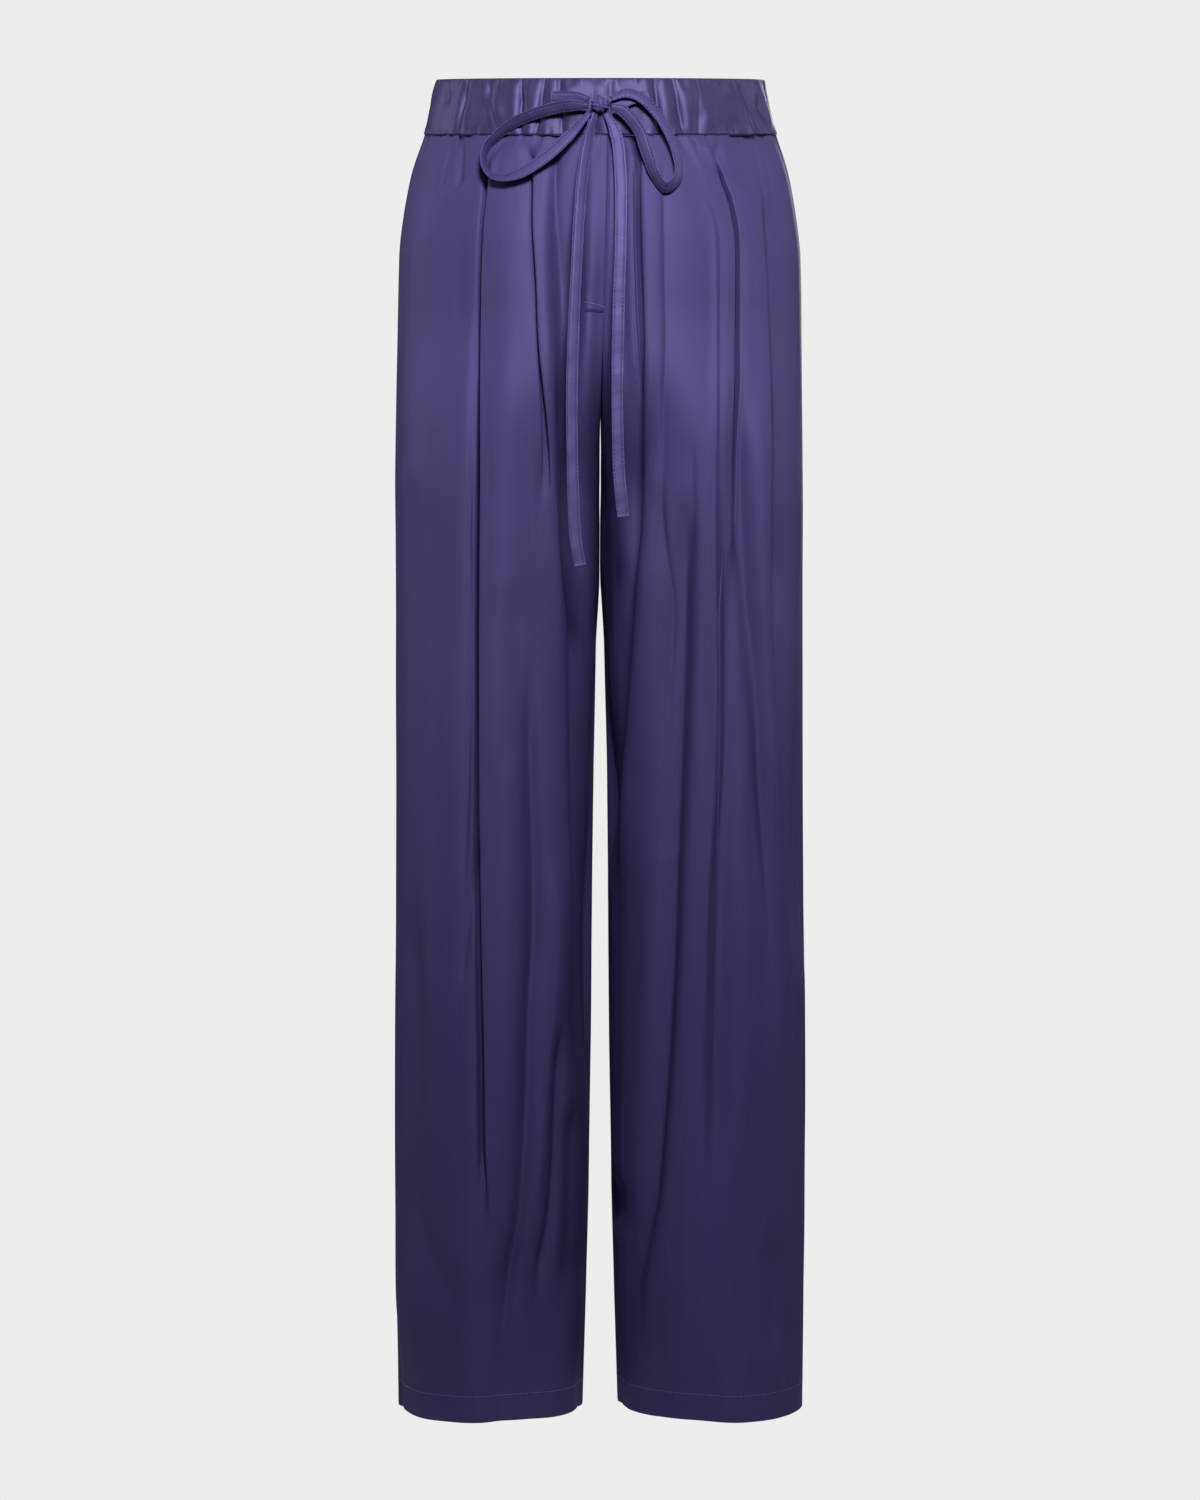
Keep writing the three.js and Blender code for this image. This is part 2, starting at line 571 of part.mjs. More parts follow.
// A closed wall between two grids of points of the same size.
function wallMesh(name, outer, inner, material) {
  const rows = outer.length;
  const cols = outer[0].length;
  const positions = [];
  [outer, inner].forEach((grid) => grid.flat().forEach((p) => positions.push(p.x, p.y, p.z)));
  const id = (face, r, c) => face * rows * cols + r * cols + c;
  const faces = [];
  const quad = (a, b, c, d) => faces.push(a, b, c, a, c, d);
  for (let r = 0; r < rows - 1; r += 1)
    for (let c = 0; c < cols - 1; c += 1) {
      quad(id(0, r, c), id(0, r + 1, c), id(0, r + 1, c + 1), id(0, r, c + 1));
      quad(id(1, r, c), id(1, r, c + 1), id(1, r + 1, c + 1), id(1, r + 1, c));
    }
  for (let c = 0; c < cols - 1; c += 1) {
    quad(id(0, 0, c), id(0, 0, c + 1), id(1, 0, c + 1), id(1, 0, c));
    quad(id(0, rows - 1, c), id(1, rows - 1, c), id(1, rows - 1, c + 1), id(0, rows - 1, c + 1));
  }
  for (let r = 0; r < rows - 1; r += 1) {
    quad(id(0, r, 0), id(1, r, 0), id(1, r + 1, 0), id(0, r + 1, 0));
    quad(id(0, r, cols - 1), id(0, r + 1, cols - 1), id(1, r + 1, cols - 1), id(1, r, cols - 1));
  }
  return solid(name, positions, faces, material);
}

// A mesh from shared points, turned so that its faces point out.
function solid(name, positions, faces, material) {
  const corner = (i) => new THREE.Vector3().fromArray(positions, i * 3);
  let volume = 0;
  for (let i = 0; i < faces.length; i += 3)
    volume += corner(faces[i]).dot(corner(faces[i + 1]).cross(corner(faces[i + 2])));
  if (volume < 0) faces.reverse();
  const geometry = new THREE.BufferGeometry();
  geometry.setAttribute("position", new THREE.Float32BufferAttribute(positions, 3));
  geometry.setIndex(faces);
  geometry.computeVertexNormals();
  const mesh = new THREE.Mesh(geometry, material);
  mesh.name = name;
  return mesh;
}

// The middle surface of a panel and its outward directions.
function panelGrid(panel) {
  const top = BAND_BOTTOM - SEAM_GAP;
  const hem = HEM_Z[panel.leg];
  const fold = hem + HEM_DEPTH;
  const levels = [top, ...(panel.face < 0 ? FRONT_ROWS : BACK_ROWS), fold + HEM_STEP, fold - HEM_STEP, hem];
  const grid = levels.map((z) => panelRow(panel, z, top));
  const normals = grid.map((row, r) => rowNormals(grid, r, panel));
  return { levels, grid, normals, fold };
}

const offset = (point, normal, distance) => ({
  x: point.x + normal.x * distance,
  y: point.y + normal.y * distance,
  z: point.z,
});

function panelMesh(panel) {
  const { levels, grid, normals, fold } = panelGrid(panel);
  const face = (distanceOf) =>
    grid.map((row, r) =>
      row.map((point, c) => {
        const atEnd = c === 0 || c === row.length - 1;
        return keepSide(offset(point, normals[r][c], distanceOf(levels[r])), panel, atEnd);
      }),
    );
  const outer = face(() => CLOTH / 2);
  const inner = face((z) => -CLOTH / 2 - (z < fold ? HEM_EXTRA : 0));
  return wallMesh(panel.name, outer, inner, satin);
}

const PANELS = [
  {
    name: "front_panel_right", leg: "right", side: -1, face: -1, folds: "front_right", seed: 3,
    pleats: [
      { kind: "knife", flap: "centre", path: MAIN_PLEAT },
      { kind: "knife", flap: "centre", path: INNER_PLEAT },
      { kind: "line", flap: "centre", path: FLY_LINE },
    ],
    fills: [12, 3, 3, 3],
  },
  {
    name: "front_panel_left", leg: "left", side: 1, face: -1, folds: "front_left", seed: 17,
    pleats: [
      { kind: "knife", flap: "centre", path: SLANTED_PLEAT },
      { kind: "crease", flap: "side", path: PRESSED_CREASE },
      { kind: "knife", flap: "side", path: STRIP_PLEAT },
    ],
    fills: [12, 0, 2, 6],
  },
  { name: "back_panel_right", leg: "right", side: -1, face: 1, folds: "back_right", seed: 41, pleats: [], fills: [27] },
  { name: "back_panel_left", leg: "left", side: 1, face: 1, folds: "back_left", seed: 67, pleats: [], fills: [27] },
];
for (const panel of PANELS) {
  const own = panel.pleats.reduce((sum, pleat) => sum + SECTION_OF[pleat.kind](1, 1).length, 0);
  panel.columns = own + panel.fills.reduce((sum, n) => sum + n, 0);
}

// The mock fly lies on the right front along the centre seam: the panel's own points, moved out.
function flyFlap() {
  const panel = PANELS[0];
  const { grid, normals } = panelGrid(panel);
  const first = grid[0].length - 1 - panel.fills[3];
  const rows = grid.map((row, r) => r).filter((r) => grid[r][first].z > FLY_BOTTOM);
  const face = (distance) =>
    rows.map((r) =>
      grid[r].slice(first).map((point, c) => keepSide(offset(point, normals[r][first + c], distance), panel, false)),
    );
  const under = CLOTH / 2 + SEAM_GAP;
  return wallMesh("fly_flap", face(under + CLOTH), face(under), satin);
}

// The waistband: a closed ring with a rounded section, thicker at half height, creased by its folds.
function waistband() {
  const SECTION = [
    { up: 0, out: BAND_WALL / 2 },
    { up: 0.12, out: 2.1 },
    { up: 0.5, out: 2.9 },
    { up: 0.88, out: 2.2 },
    { up: 1, out: BAND_WALL / 2 },
    { up: 1, out: -BAND_WALL / 2 },
    { up: 0.5, out: -1.7 },
    { up: 0, out: -BAND_WALL / 2 },
  ];
  const MIDDLE = (BAND_TOP + BAND_BOTTOM) / 2;
  const MEAN_RADIUS = 0.85; // of the oval waist, as a share of half its width
  const FLANK = 3.4; // half width of a sharp fold
  const FLANK_RISE = 0.25; // of the fold's depth
  const WIDEST = 9.5; // between two columns of points
  const UNEVEN = 0.5; // of the columns between two folds
  const INSIDE_SHARE = 0.3; // of a fold that shows on the inner face
  const EDGE_SHARE = 0.45; // of a fold's depth that it has at the band's edges
  const RIB = 0.25; // every second column stands out this much and the next goes in
  // The angle round the waist, from the right side seam over the front, of a place x at a height.
  const angleOf = (x, z, face) => {
    const side = column(SECTIONS, "side", z);
    const angle = Math.acos(clamp(-x / side, -1, 1));
    return face < 0 ? angle : 2 * Math.PI - angle;
  };
  const marks = [];
  const addFolds = (folds, face) => {
    for (const fold of folds)
      for (const flank of [-FLANK, 0, FLANK])
        marks.push({
          top: angleOf(fold.top + flank, BAND_TOP, face),
          bottom: angleOf(fold.bottom + flank, BAND_BOTTOM, face),
          dent: flank === 0 ? fold.depth : -FLANK_RISE * fold.depth,
        });
  };
  addFolds(BAND_FOLDS_FRONT, -1);
  addFolds(BAND_FOLDS_BACK, 1);
  marks.sort((a, b) => a.top - b.top);
  const columns = [];
  marks.forEach((mark, i) => {
    columns.push(mark);
    const next = marks[(i + 1) % marks.length];
    const turn = i === marks.length - 1 ? 2 * Math.PI : 0;
    const span = (next.top + turn - mark.top) * column(SECTIONS, "side", MIDDLE) * MEAN_RADIUS;
    const extra = Math.floor(span / WIDEST);
    for (let j = 1; j <= extra; j += 1) {
      const share = j / (extra + 1);
      columns.push({
        top: mix(mark.top, next.top + turn, share),
        bottom: mix(mark.bottom, next.bottom + turn, share),
        dent: -UNEVEN * chance(columns.length),
      });
    }
  });
  const positions = [];
  columns.forEach((mark, i) => {
    for (const { up, out } of SECTION) {
      const z = mix(BAND_BOTTOM, BAND_TOP, up);
      const angle = mix(mark.bottom, mark.top, up);
      const front = Math.sin(angle) > 0;
      const side = column(SECTIONS, "side", z);
      const depth = column(SECTIONS, front ? "front" : "back", z);
      const x = -side * Math.cos(angle);
      const y = -depth * Math.sin(angle);
      const n = new THREE.Vector2(x / side ** 2, y / depth ** 2).normalize();
      const outside = out > 0 ? 1 : INSIDE_SHARE;
      const ease = mix(EDGE_SHARE, 1, Math.sin(Math.PI * clamp(up, 0.1, 0.9)));
      const away = out + outside * ((i % 2 ? RIB : -RIB) - mark.dent * ease);
      const px = x + n.x * away;
      const py = y + n.y * away;
      positions.push(px, py, z + tilt(y, z));
    }
  });
  const sides = SECTION.length;
  const faces = [];
  for (let i = 0; i < columns.length; i += 1)
    for (let k = 0; k < sides; k += 1) {
      const a = i * sides + k;
      const b = i * sides + ((k + 1) % sides);
      const c = ((i + 1) % columns.length) * sides + ((k + 1) % sides);
      const d = ((i + 1) % columns.length) * sides + k;
      faces.push(a, b, c, a, c, d);
    }
  return solid("waistband", positions, faces, bandSatin);
}

// The depth of the outside of the garment at a place on its front, without its folds.
function frontDepth(x, z) {
  let level = z;
  let y = 0;
  for (let round = 0; round < 4; round += 1) {
    const side = column(SECTIONS, "side", level);
    y = -column(SECTIONS, "front", level) * Math.sqrt(Math.max(0, 1 - (x / side) ** 2));
    level = z - tilt(y, level);
  }
  return y;
}

// A flat strip along hand-chosen points, its ends square: a section with eight sides.
function ribbon(name, route, steps) {
  const half = RIBBON.width / 2;
  const thick = RIBBON.thickness / 2;
  const flat = half - RIBBON.edge;
  const low = thick - RIBBON.bevel;
  const section = [
    [-half, -low], [-flat, -thick], [flat, -thick], [half, -low],
    [half, low], [flat, thick], [-flat, thick], [-half, low],
  ];
  const curve = new THREE.CatmullRomCurve3(route.map((p) => new THREE.Vector3(p.x, p.y, p.z)), false, "centripetal");
  const positions = [];
  for (let i = 0; i <= steps; i += 1) {
    const share = i / steps;
    const t = curve.getUtoTmapping(share);
    const point = curve.getPoint(t);
    const along = curve.getTangent(t);
    const place = t * (route.length - 1);
    const k = Math.min(route.length - 2, Math.floor(place));
    const turn = (mix(route[k].turn, route[k + 1].turn, place - k) * Math.PI) / 180;
    const drawn = mix(route[k].wide ?? 1, route[k + 1].wide ?? 1, place - k);
    const wide = new THREE.Vector3(0, -1, 0).cross(along).setLength(Math.cos(turn));
    wide.y += Math.sin(turn);
    wide.addScaledVector(along, -wide.dot(along)).normalize();
    const over = along.clone().cross(wide).normalize();
    for (const [across, up] of section) {
      const p = point.clone().addScaledVector(wide, across * drawn).addScaledVector(over, up);
      positions.push(p.x, p.y, p.z);
    }
  }
  const sides = section.length;
  const faces = [];
  for (let i = 0; i < steps; i += 1)
    for (let k = 0; k < sides; k += 1) {
      const a = i * sides + k;
      const b = i * sides + ((k + 1) % sides);
      faces.push(a, b, b + sides, a, b + sides, a + sides);
    }
  for (let k = 1; k < sides - 1; k += 1) {
    faces.push(0, k + 1, k);
    const end = steps * sides;
    faces.push(end, end + k, end + k + 1);
  }
  return solid(name, positions, faces, ribbonSatin);
}

// Places a route on the front: each point stands off the cloth by its own distance.
const onFront = (route) => route.map((p) => ({ ...p, y: frontDepth(p.x, p.z) - p.off }));

// A hanging end starts under the knot and never swings back in under the cloth that it has passed.
function hanging(route) {
  let y = frontDepth(KNOT.x, KNOT.z) - KNOT.off + 1;
  return route.map((p) => {
    y = Math.min(y, frontDepth(p.x, p.z) - TAIL_HANG);
    return { ...p, y };
  });
}

function knot() {
  const geometry = new THREE.SphereGeometry(1, 14, 10);
  geometry.deleteAttribute("normal");
  geometry.deleteAttribute("uv");
  geometry.scale(KNOT.radius, KNOT.depth, KNOT.height);
  geometry.computeVertexNormals();
  const mesh = new THREE.Mesh(geometry, ribbonSatin);
  mesh.name = "drawstring_knot";
  mesh.position.set(KNOT.x, frontDepth(KNOT.x, KNOT.z) - KNOT.off, KNOT.z);
  return mesh;
}

const pants = new THREE.Group();
const legs = new THREE.Group();
PANELS.forEach((panel) => legs.add(panelMesh(panel)));
legs.add(flyFlap());
pants.add(legs);
pants.add(waistband());

const drawstring = new THREE.Group();
drawstring.add(knot());
drawstring.add(ribbon("drawstring_tail_right", hanging(TAILS.right), 16));
drawstring.add(ribbon("drawstring_tail_left", hanging(TAILS.left), 15));
drawstring.add(ribbon("drawstring_loop_right", onFront(LOOPS.right), 20));
drawstring.add(ribbon("drawstring_loop_left", onFront(LOOPS.left), 20));
drawstring.add(ribbon("drawstring_strand_right", onFront(STRANDS.right), 5));
drawstring.add(ribbon("drawstring_strand_left", onFront(STRANDS.left), 5));
pants.add(drawstring);

export default pants;
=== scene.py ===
"""Satin pyjama pants with a drawstring waist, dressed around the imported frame.

Metres, +Z up, the front faces -Y. The origin is the middle of the waist, halfway up the waistband.
Left and right are the wearer's, so the right leg is at -X.
"""

import logging
import math
from dataclasses import dataclass, field
from enum import Enum

import bpy
import numpy as np
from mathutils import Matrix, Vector


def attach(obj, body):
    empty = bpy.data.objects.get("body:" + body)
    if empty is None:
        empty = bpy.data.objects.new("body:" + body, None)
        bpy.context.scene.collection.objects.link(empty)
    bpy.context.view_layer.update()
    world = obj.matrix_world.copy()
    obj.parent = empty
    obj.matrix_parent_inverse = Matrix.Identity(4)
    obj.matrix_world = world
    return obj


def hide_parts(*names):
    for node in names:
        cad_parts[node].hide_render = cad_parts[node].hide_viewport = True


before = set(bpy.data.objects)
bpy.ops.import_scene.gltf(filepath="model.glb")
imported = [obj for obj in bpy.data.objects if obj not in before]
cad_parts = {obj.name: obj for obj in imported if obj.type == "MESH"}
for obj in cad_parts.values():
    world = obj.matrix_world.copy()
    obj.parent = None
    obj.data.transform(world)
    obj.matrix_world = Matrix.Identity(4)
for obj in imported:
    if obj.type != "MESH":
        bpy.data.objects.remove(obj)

LOG = logging.getLogger("pyjama_pants")
BODY = "root"


class Side(Enum):
    """The wearer's side of the garment, as the sign of X."""

    RIGHT = -1
    LEFT = 1


class Face(Enum):
    """Front or back of the garment, as the sign of Y."""

    FRONT = -1
    BACK = 1


class FoldKind(Enum):
    """How the cloth is folded along a pleat."""

    KNIFE = "knife"
    CREASE = "crease"
    LINE = "line"


class Flap(Enum):
    """Which part of the cloth lies on top at a pleat."""

    CENTRE = "centre"
    SIDE = "side"


# Numbers


def mix(low, high, share):
    """Return the value at a share of the way from low to high."""
    return low + (high - low) * share


def smooth(value):
    """Return value held between 0 and 1, with soft ends."""
    held = np.clip(value, 0.0, 1.0)
    return held * held * (3.0 - 2.0 * held)


def column(rows: tuple, key: str) -> np.ndarray:
    """Return one named column of a table."""
    return np.array([getattr(row, key) for row in rows], dtype=float)


def curve_through(rows: tuple, key: str, z) -> np.ndarray:
    """Return a column of a table at heights z, as a smooth curve.

    Args:
        rows: the table, its rows in falling order of z.
        key: the column's name.
        z: one height or an array of them, in metres.

    Returns:
        The column's values, held at both ends.
    """
    knots = column(rows, "z")
    values = column(rows, key)
    slopes = np.empty_like(values)
    slopes[1:-1] = (values[2:] - values[:-2]) / (knots[2:] - knots[:-2])
    slopes[0] = (values[1] - values[0]) / (knots[1] - knots[0])
    slopes[-1] = (values[-1] - values[-2]) / (knots[-1] - knots[-2])
    level = np.clip(np.asarray(z, dtype=float), knots[-1], knots[0])
    i = np.clip(np.searchsorted(-knots, -level, side="left") - 1, 0, len(knots) - 2)
    step = knots[i + 1] - knots[i]
    t = (level - knots[i]) / step
    t2, t3 = t * t, t * t * t
    start = (2 * t3 - 3 * t2 + 1) * values[i] + (t3 - 2 * t2 + t) * step * slopes[i]
    end = (3 * t2 - 2 * t3) * values[i + 1] + (t3 - t2) * step * slopes[i + 1]
    return start + end


def straight_through(rows: tuple, key: str, z) -> np.ndarray:
    """Return a column of a table at heights z, straight between its rows."""
    return np.interp(-np.asarray(z, dtype=float), -column(rows, "z"), column(rows, key))


# The figure that fills the garment


@dataclass(frozen=True)
class Section:
    """One section of the filled-out garment: half width, reach and half the gap between the legs."""

    z: float
    side: float
    front: float
    back: float
    gap: float


@dataclass(frozen=True)
class Figure:
    """The smooth form under every piece, the same as the solids have."""

    cloth: float = 0.0012
    seam_gap: float = 0.0003
    band_top: float = 0.021
    band_bottom: float = -0.022
    tilt_front: float = 0.2
    tilt_back: float = 0.12
    tilt_fade: float = 0.13
    fork: float = -0.17
    crotch: float = -0.33
    fullness_power: float = 0.85
    seam_drift: float = 0.006
    sections: tuple = (
        Section(0.021, 0.1288, 0.092, 0.095, 0.00015),
        Section(0.000, 0.1334, 0.094, 0.097, 0.00015),
        Section(-0.022, 0.1394, 0.096, 0.100, 0.00015),
        Section(-0.042, 0.1465, 0.101, 0.106, 0.00015),
        Section(-0.058, 0.1510, 0.104, 0.111, 0.00015),
        Section(-0.090, 0.1565, 0.109, 0.118, 0.00015),
        Section(-0.122, 0.1598, 0.113, 0.124, 0.00015),
        Section(-0.218, 0.1610, 0.118, 0.129, 0.00015),
        Section(-0.330, 0.1616, 0.116, 0.123, 0.0002),
        Section(-0.378, 0.1616, 0.114, 0.118, 0.0003),
        Section(-0.425, 0.1616, 0.111, 0.115, 0.003),
        Section(-0.520, 0.1618, 0.108, 0.111, 0.0052),
        Section(-0.740, 0.1630, 0.099, 0.101, 0.0072),
        Section(-0.860, 0.1628, 0.094, 0.096, 0.0089),
        Section(-0.950, 0.1620, 0.090, 0.092, 0.0112),
        Section(-1.040, 0.1610, 0.087, 0.088, 0.0138),
    )

    def side(self, z):
        """Return half the width at height z."""
        return curve_through(self.sections, "side", z)

    def depth(self, face: Face, z):
        """Return the reach to the front or back at height z."""
        return curve_through(self.sections, "front" if face is Face.FRONT else "back", z)

    def tilt(self, y, z):
        """Return how far a point at depth y lies above its height at the side seam."""
        fade = np.where(z > self.band_bottom, 1.0, smooth(1 - (self.band_bottom - z) / self.tilt_fade))
        return y * np.where(y < 0, self.tilt_front, self.tilt_back) * fade

    def centre_seam(self, z, face: Face):
        """Return the x of the centre seam at height z."""
        if face is Face.BACK:
            return np.zeros_like(np.asarray(z, dtype=float))
        return self.seam_drift * smooth((z - self.crotch) / (self.band_bottom - self.crotch))

    def fullness(self, leg: float) -> float:
        """Return what keeps a mixture of half body and half leg as deep as either."""
        u = np.linspace(0, 1, 33)
        reach = mix(np.sin(u * math.pi / 2), np.sin(u * math.pi).clip(0) ** self.fullness_power, leg)
        return 1 / float(reach.max())

    def bare(self, side: Side, face: Face, z: float, u: np.ndarray) -> tuple[np.ndarray, np.ndarray]:
        """Return the section of one panel, from its side seam (u 0) to its centre (u 1).

        Args:
            side: the leg that the panel is on.
            face: front or back.
            z: height at the side seam.
            u: places along the section.

        Returns:
            The x and the y of the points.
        """
        half = float(self.side(z))
        depth = float(self.depth(face, z))
        inside = float(straight_through(self.sections, "gap", z)) + self.cloth / 2
        t = min(1.0, max(0.0, (self.fork - z) / (self.fork - self.crotch)))
        leg = t * t * (3 - t) / 2
        body_x = mix(half, self.seam_gap / 2, 1 - np.cos(u * math.pi / 2))
        body_y = depth * np.sin(u * math.pi / 2)
        tube_x = (half + inside) / 2 + (half - inside) / 2 * np.cos(u * math.pi)
        tube_y = depth * np.sin(u * math.pi).clip(0) ** self.fullness_power
        seam = float(self.centre_seam(z, face)) * u**3
        x = side.value * mix(body_x, tube_x, leg) + seam
        y = face.value * (mix(body_y, tube_y, leg) * self.fullness(leg) + self.seam_gap / 2)
        return x, y

    def front_depth(self, x: float, z: float) -> float:
        """Return the y of the front at a place on it, without its folds."""
        level, y = z, 0.0
        for _ in range(4):
            share = max(0.0, 1 - (x / float(self.side(level))) ** 2)
            y = -float(self.depth(Face.FRONT, level)) * math.sqrt(share)
            level = z - float(self.tilt(y, level))
        return y


FIGURE = Figure()


class SectionLine:
    """The section of a panel at one height, read by the distance along it."""

    STEPS = 288
    WINDOW = 6

    def __init__(self, side: Side, face: Face, z: float) -> None:
        """Work out the section's points, lengths and outward directions."""
        self.x, self.y = FIGURE.bare(side, face, z, np.linspace(0, 1, self.STEPS + 1))
        runs = np.hypot(np.diff(self.x), np.diff(self.y))
        self.lengths = np.concatenate([[0.0], np.cumsum(runs)])
        self.total = float(self.lengths[-1])
        self.side = side
        index = np.arange(self.STEPS + 1)
        before = np.maximum(index - self.WINDOW, 0)
        after = np.minimum(index + self.WINDOW, self.STEPS)
        dx, dy = self.x[after] - self.x[before], self.y[after] - self.y[before]
        run = np.hypot(dx, dy)
        turn = side.value * face.value
        self.nx, self.ny = turn * dy / run, -turn * dx / run

    def at(self, distance: np.ndarray) -> tuple[np.ndarray, ...]:
        """Return x, y and the outward direction at distances from the side seam."""
        held = np.clip(distance, 0, self.total)
        return tuple(np.interp(held, self.lengths, values) for values in (self.x, self.y, self.nx, self.ny))

    def distance_of(self, x: float) -> float:
        """Return the distance from the side seam of a place x."""
        return float(np.interp(-self.side.value * x, -self.side.value * self.x, self.lengths))


# Folds of the cloth


@dataclass(frozen=True)
class FoldPoint:
    """One point of a pleat: its edge, how deep it is and how closed (1 overlapped, 0.5 a step, 0 flat)."""

    z: float
    x: float
    drop: float
    fold: float


@dataclass(frozen=True)
class SoftFold:
    """A ridge, or a trough where its height is negative, along a path of x and z."""

    x: tuple
    z: tuple
    height: float
    right: float
    left: float
    sharp: float = 2.0
    ease: float = 0.25
    end: float = 0.25
    bow: float = 0.0

    def height_at(self, x: np.ndarray, z: np.ndarray) -> np.ndarray:
        """Return the fold's height at places on the cloth.

        Args:
            x: places across; the fold is `right` wide towards -X and `left` wide towards +X.
            z: heights.

        Returns:
            The height at each place. Sharp 2 is round, 1 has an edge and 4 a flat top; ease and end are
            the shares of the run that it takes to rise and to end, its sides sooner by bow.
        """
        path = tuple(FoldPoint(level, across, 0, 0) for level, across in zip(self.z, self.x))
        run = self.z[0] - self.z[-1]
        ease, end = run * self.ease, run * self.end
        away = x - curve_through(path, "x", z)
        share = np.abs(away) / np.where(away < 0, self.right, self.left)
        low = z - self.bow * share**2
        fade = smooth((self.z[0] + ease / 2 - z) / ease) * smooth((low - self.z[-1] + end / 2) / end)
        return self.height * fade * np.exp(-(share**self.sharp) / 2)


@dataclass(frozen=True)
class Rise:
    """A soft change of height across the cloth: where it starts, how wide it is and its share of the drop."""

    start: float
    width: float
    share: float


STEP_PLACES = (-0.014, -0.007, -0.004, -0.0024, -0.0012, -0.0002, 0.0008, 0.0018, 0.003, 0.009)
STEP_RISES = (Rise(-0.014, 0.010, -0.55), Rise(-0.004, 0.007, 1.0), Rise(0.003, 0.006, -0.29))


@dataclass(frozen=True)
class Pleat:
    """A fold that runs down the cloth, with its points and the way that it is folded.

    The cloth under a knife pleat starts to drop at under_reach and falls down a wall beside the slot. The
    flap over it is turned at its edge, and sunk is the share of the drop that lies below the cloth.
    """

    kind: FoldKind
    flap: Flap
    path: tuple
    under_reach: float = 0.013
    flap_reach: float = 0.007
    overlap: float = 0.005
    slot: float = 0.0032
    sunk: float = 0.75
    wall: float = 0.4
    wall_share: float = 0.75
    flap_fall: float = 0.25
    turned_edge: float = 0.0006
    flat_step: float = 0.0008
    under_points: int = 14
    edge_points: int = 5
    back_points: int = 4
    flap_points: int = 7
    crease_points: int = 15
    crease_half: float = 0.007
    crease_rise: float = 0.0035
    crease_fall: float = 0.004
    crease_recovery: float = 0.005
    crease_height: float = 0.8

    def count(self) -> int:
        """Return how many points across the cloth the fold takes."""
        if self.kind is FoldKind.KNIFE:
            return self.under_points + 2 * self.edge_points + self.back_points + self.flap_points
        return {FoldKind.CREASE: self.crease_points, FoldKind.LINE: 1}[self.kind]

    def knife(self, drop: float, fold: float) -> tuple[np.ndarray, np.ndarray]:
        """Return the section of a folded pleat, from the cloth under it to the flap over it.

        Args:
            drop: how far the cloth under the fold lies below the flap.
            fold: how closed the fold is.

        Returns:
            The places across and the heights of its points.
        """
        across, heights = self.overlapped(drop)
        step_rows = np.linspace(0, len(STEP_PLACES) - 1, len(across))
        step_across = np.interp(step_rows, range(len(STEP_PLACES)), STEP_PLACES)
        step = sum(rise.share * smooth((step_across - rise.start) / rise.width) for rise in STEP_RISES)
        closed = min(1.0, max(0.0, 2 * fold - 1))
        return mix(step_across, across, closed), mix(step * drop, heights, closed)

    def overlapped(self, drop: float) -> tuple[np.ndarray, np.ndarray]:
        """Return the places across and the heights of a fully closed pleat."""
        low, high, r = -self.sunk * drop, (1 - self.sunk) * drop, self.turned_edge
        third = self.under_points // 3
        foot = (self.wall - 1) * self.slot
        under = np.concatenate([
            np.linspace(-self.under_reach, -self.slot, third, endpoint=False),
            np.linspace(-self.slot, foot, third, endpoint=False),
            np.linspace(foot, self.overlap, self.under_points - 2 * third),
        ])
        lower = np.radians(np.linspace(-90, 90, self.edge_points + 2))[1:-1]
        upper = np.radians(np.linspace(-90, -270, self.edge_points + 2))[1:-1]
        share = np.linspace(0, 1, self.back_points)
        flap = np.linspace(r, self.flap_reach, self.flap_points)
        gentle = smooth(under / self.under_reach + 1)
        steep = smooth((under / self.slot + 1) / self.wall)
        across = np.concatenate([
            under,
            self.overlap + r * np.cos(lower),
            mix(self.overlap, r, share),
            r + r * np.cos(upper),
            flap,
        ])
        heights = np.concatenate([
            low * mix(gentle, steep, self.wall_share),
            low + r + r * np.sin(lower),
            mix(low + 2 * r, high - 2 * r, smooth(share)),
            high - r + r * np.sin(upper),
            high * (1 - self.flap_fall * smooth((flap - r) / (self.flap_reach - r))),
        ])
        return across, heights

    def crease(self, drop: float) -> tuple[np.ndarray, np.ndarray]:
        """Return the section of a pressed crease: a gentle rise and a quick fall."""
        across = np.linspace(-self.crease_half, self.crease_half, self.count())
        rise = np.where(across < 0, np.exp(across / self.crease_rise), 0)
        fall = 1.5 * smooth(across / self.crease_fall)
        recovery = 0.5 * smooth((across - self.crease_fall) / self.crease_recovery)
        edge = np.where(across >= 0, 1 - fall + recovery, 0)
        return across, drop * (rise + edge) * self.crease_height

    def section(self, drop: float, fold: float) -> tuple[np.ndarray, np.ndarray, float]:
        """Return the fold's places across, heights and how far it has opened from the flat cloth."""
        if self.kind is FoldKind.LINE:
            return np.zeros(1), np.zeros(1), 0.0
        across, heights = self.knife(drop, fold) if self.kind is FoldKind.KNIFE else self.crease(drop)
        if self.flap is Flap.SIDE:
            across, heights = -across[::-1], heights[::-1]
        spread = min(1.0, max(0.0, 2 * fold))
        flat = (np.arange(len(across)) - (len(across) - 1) / 2) * self.flat_step
        return mix(flat, across, spread), heights * spread, spread


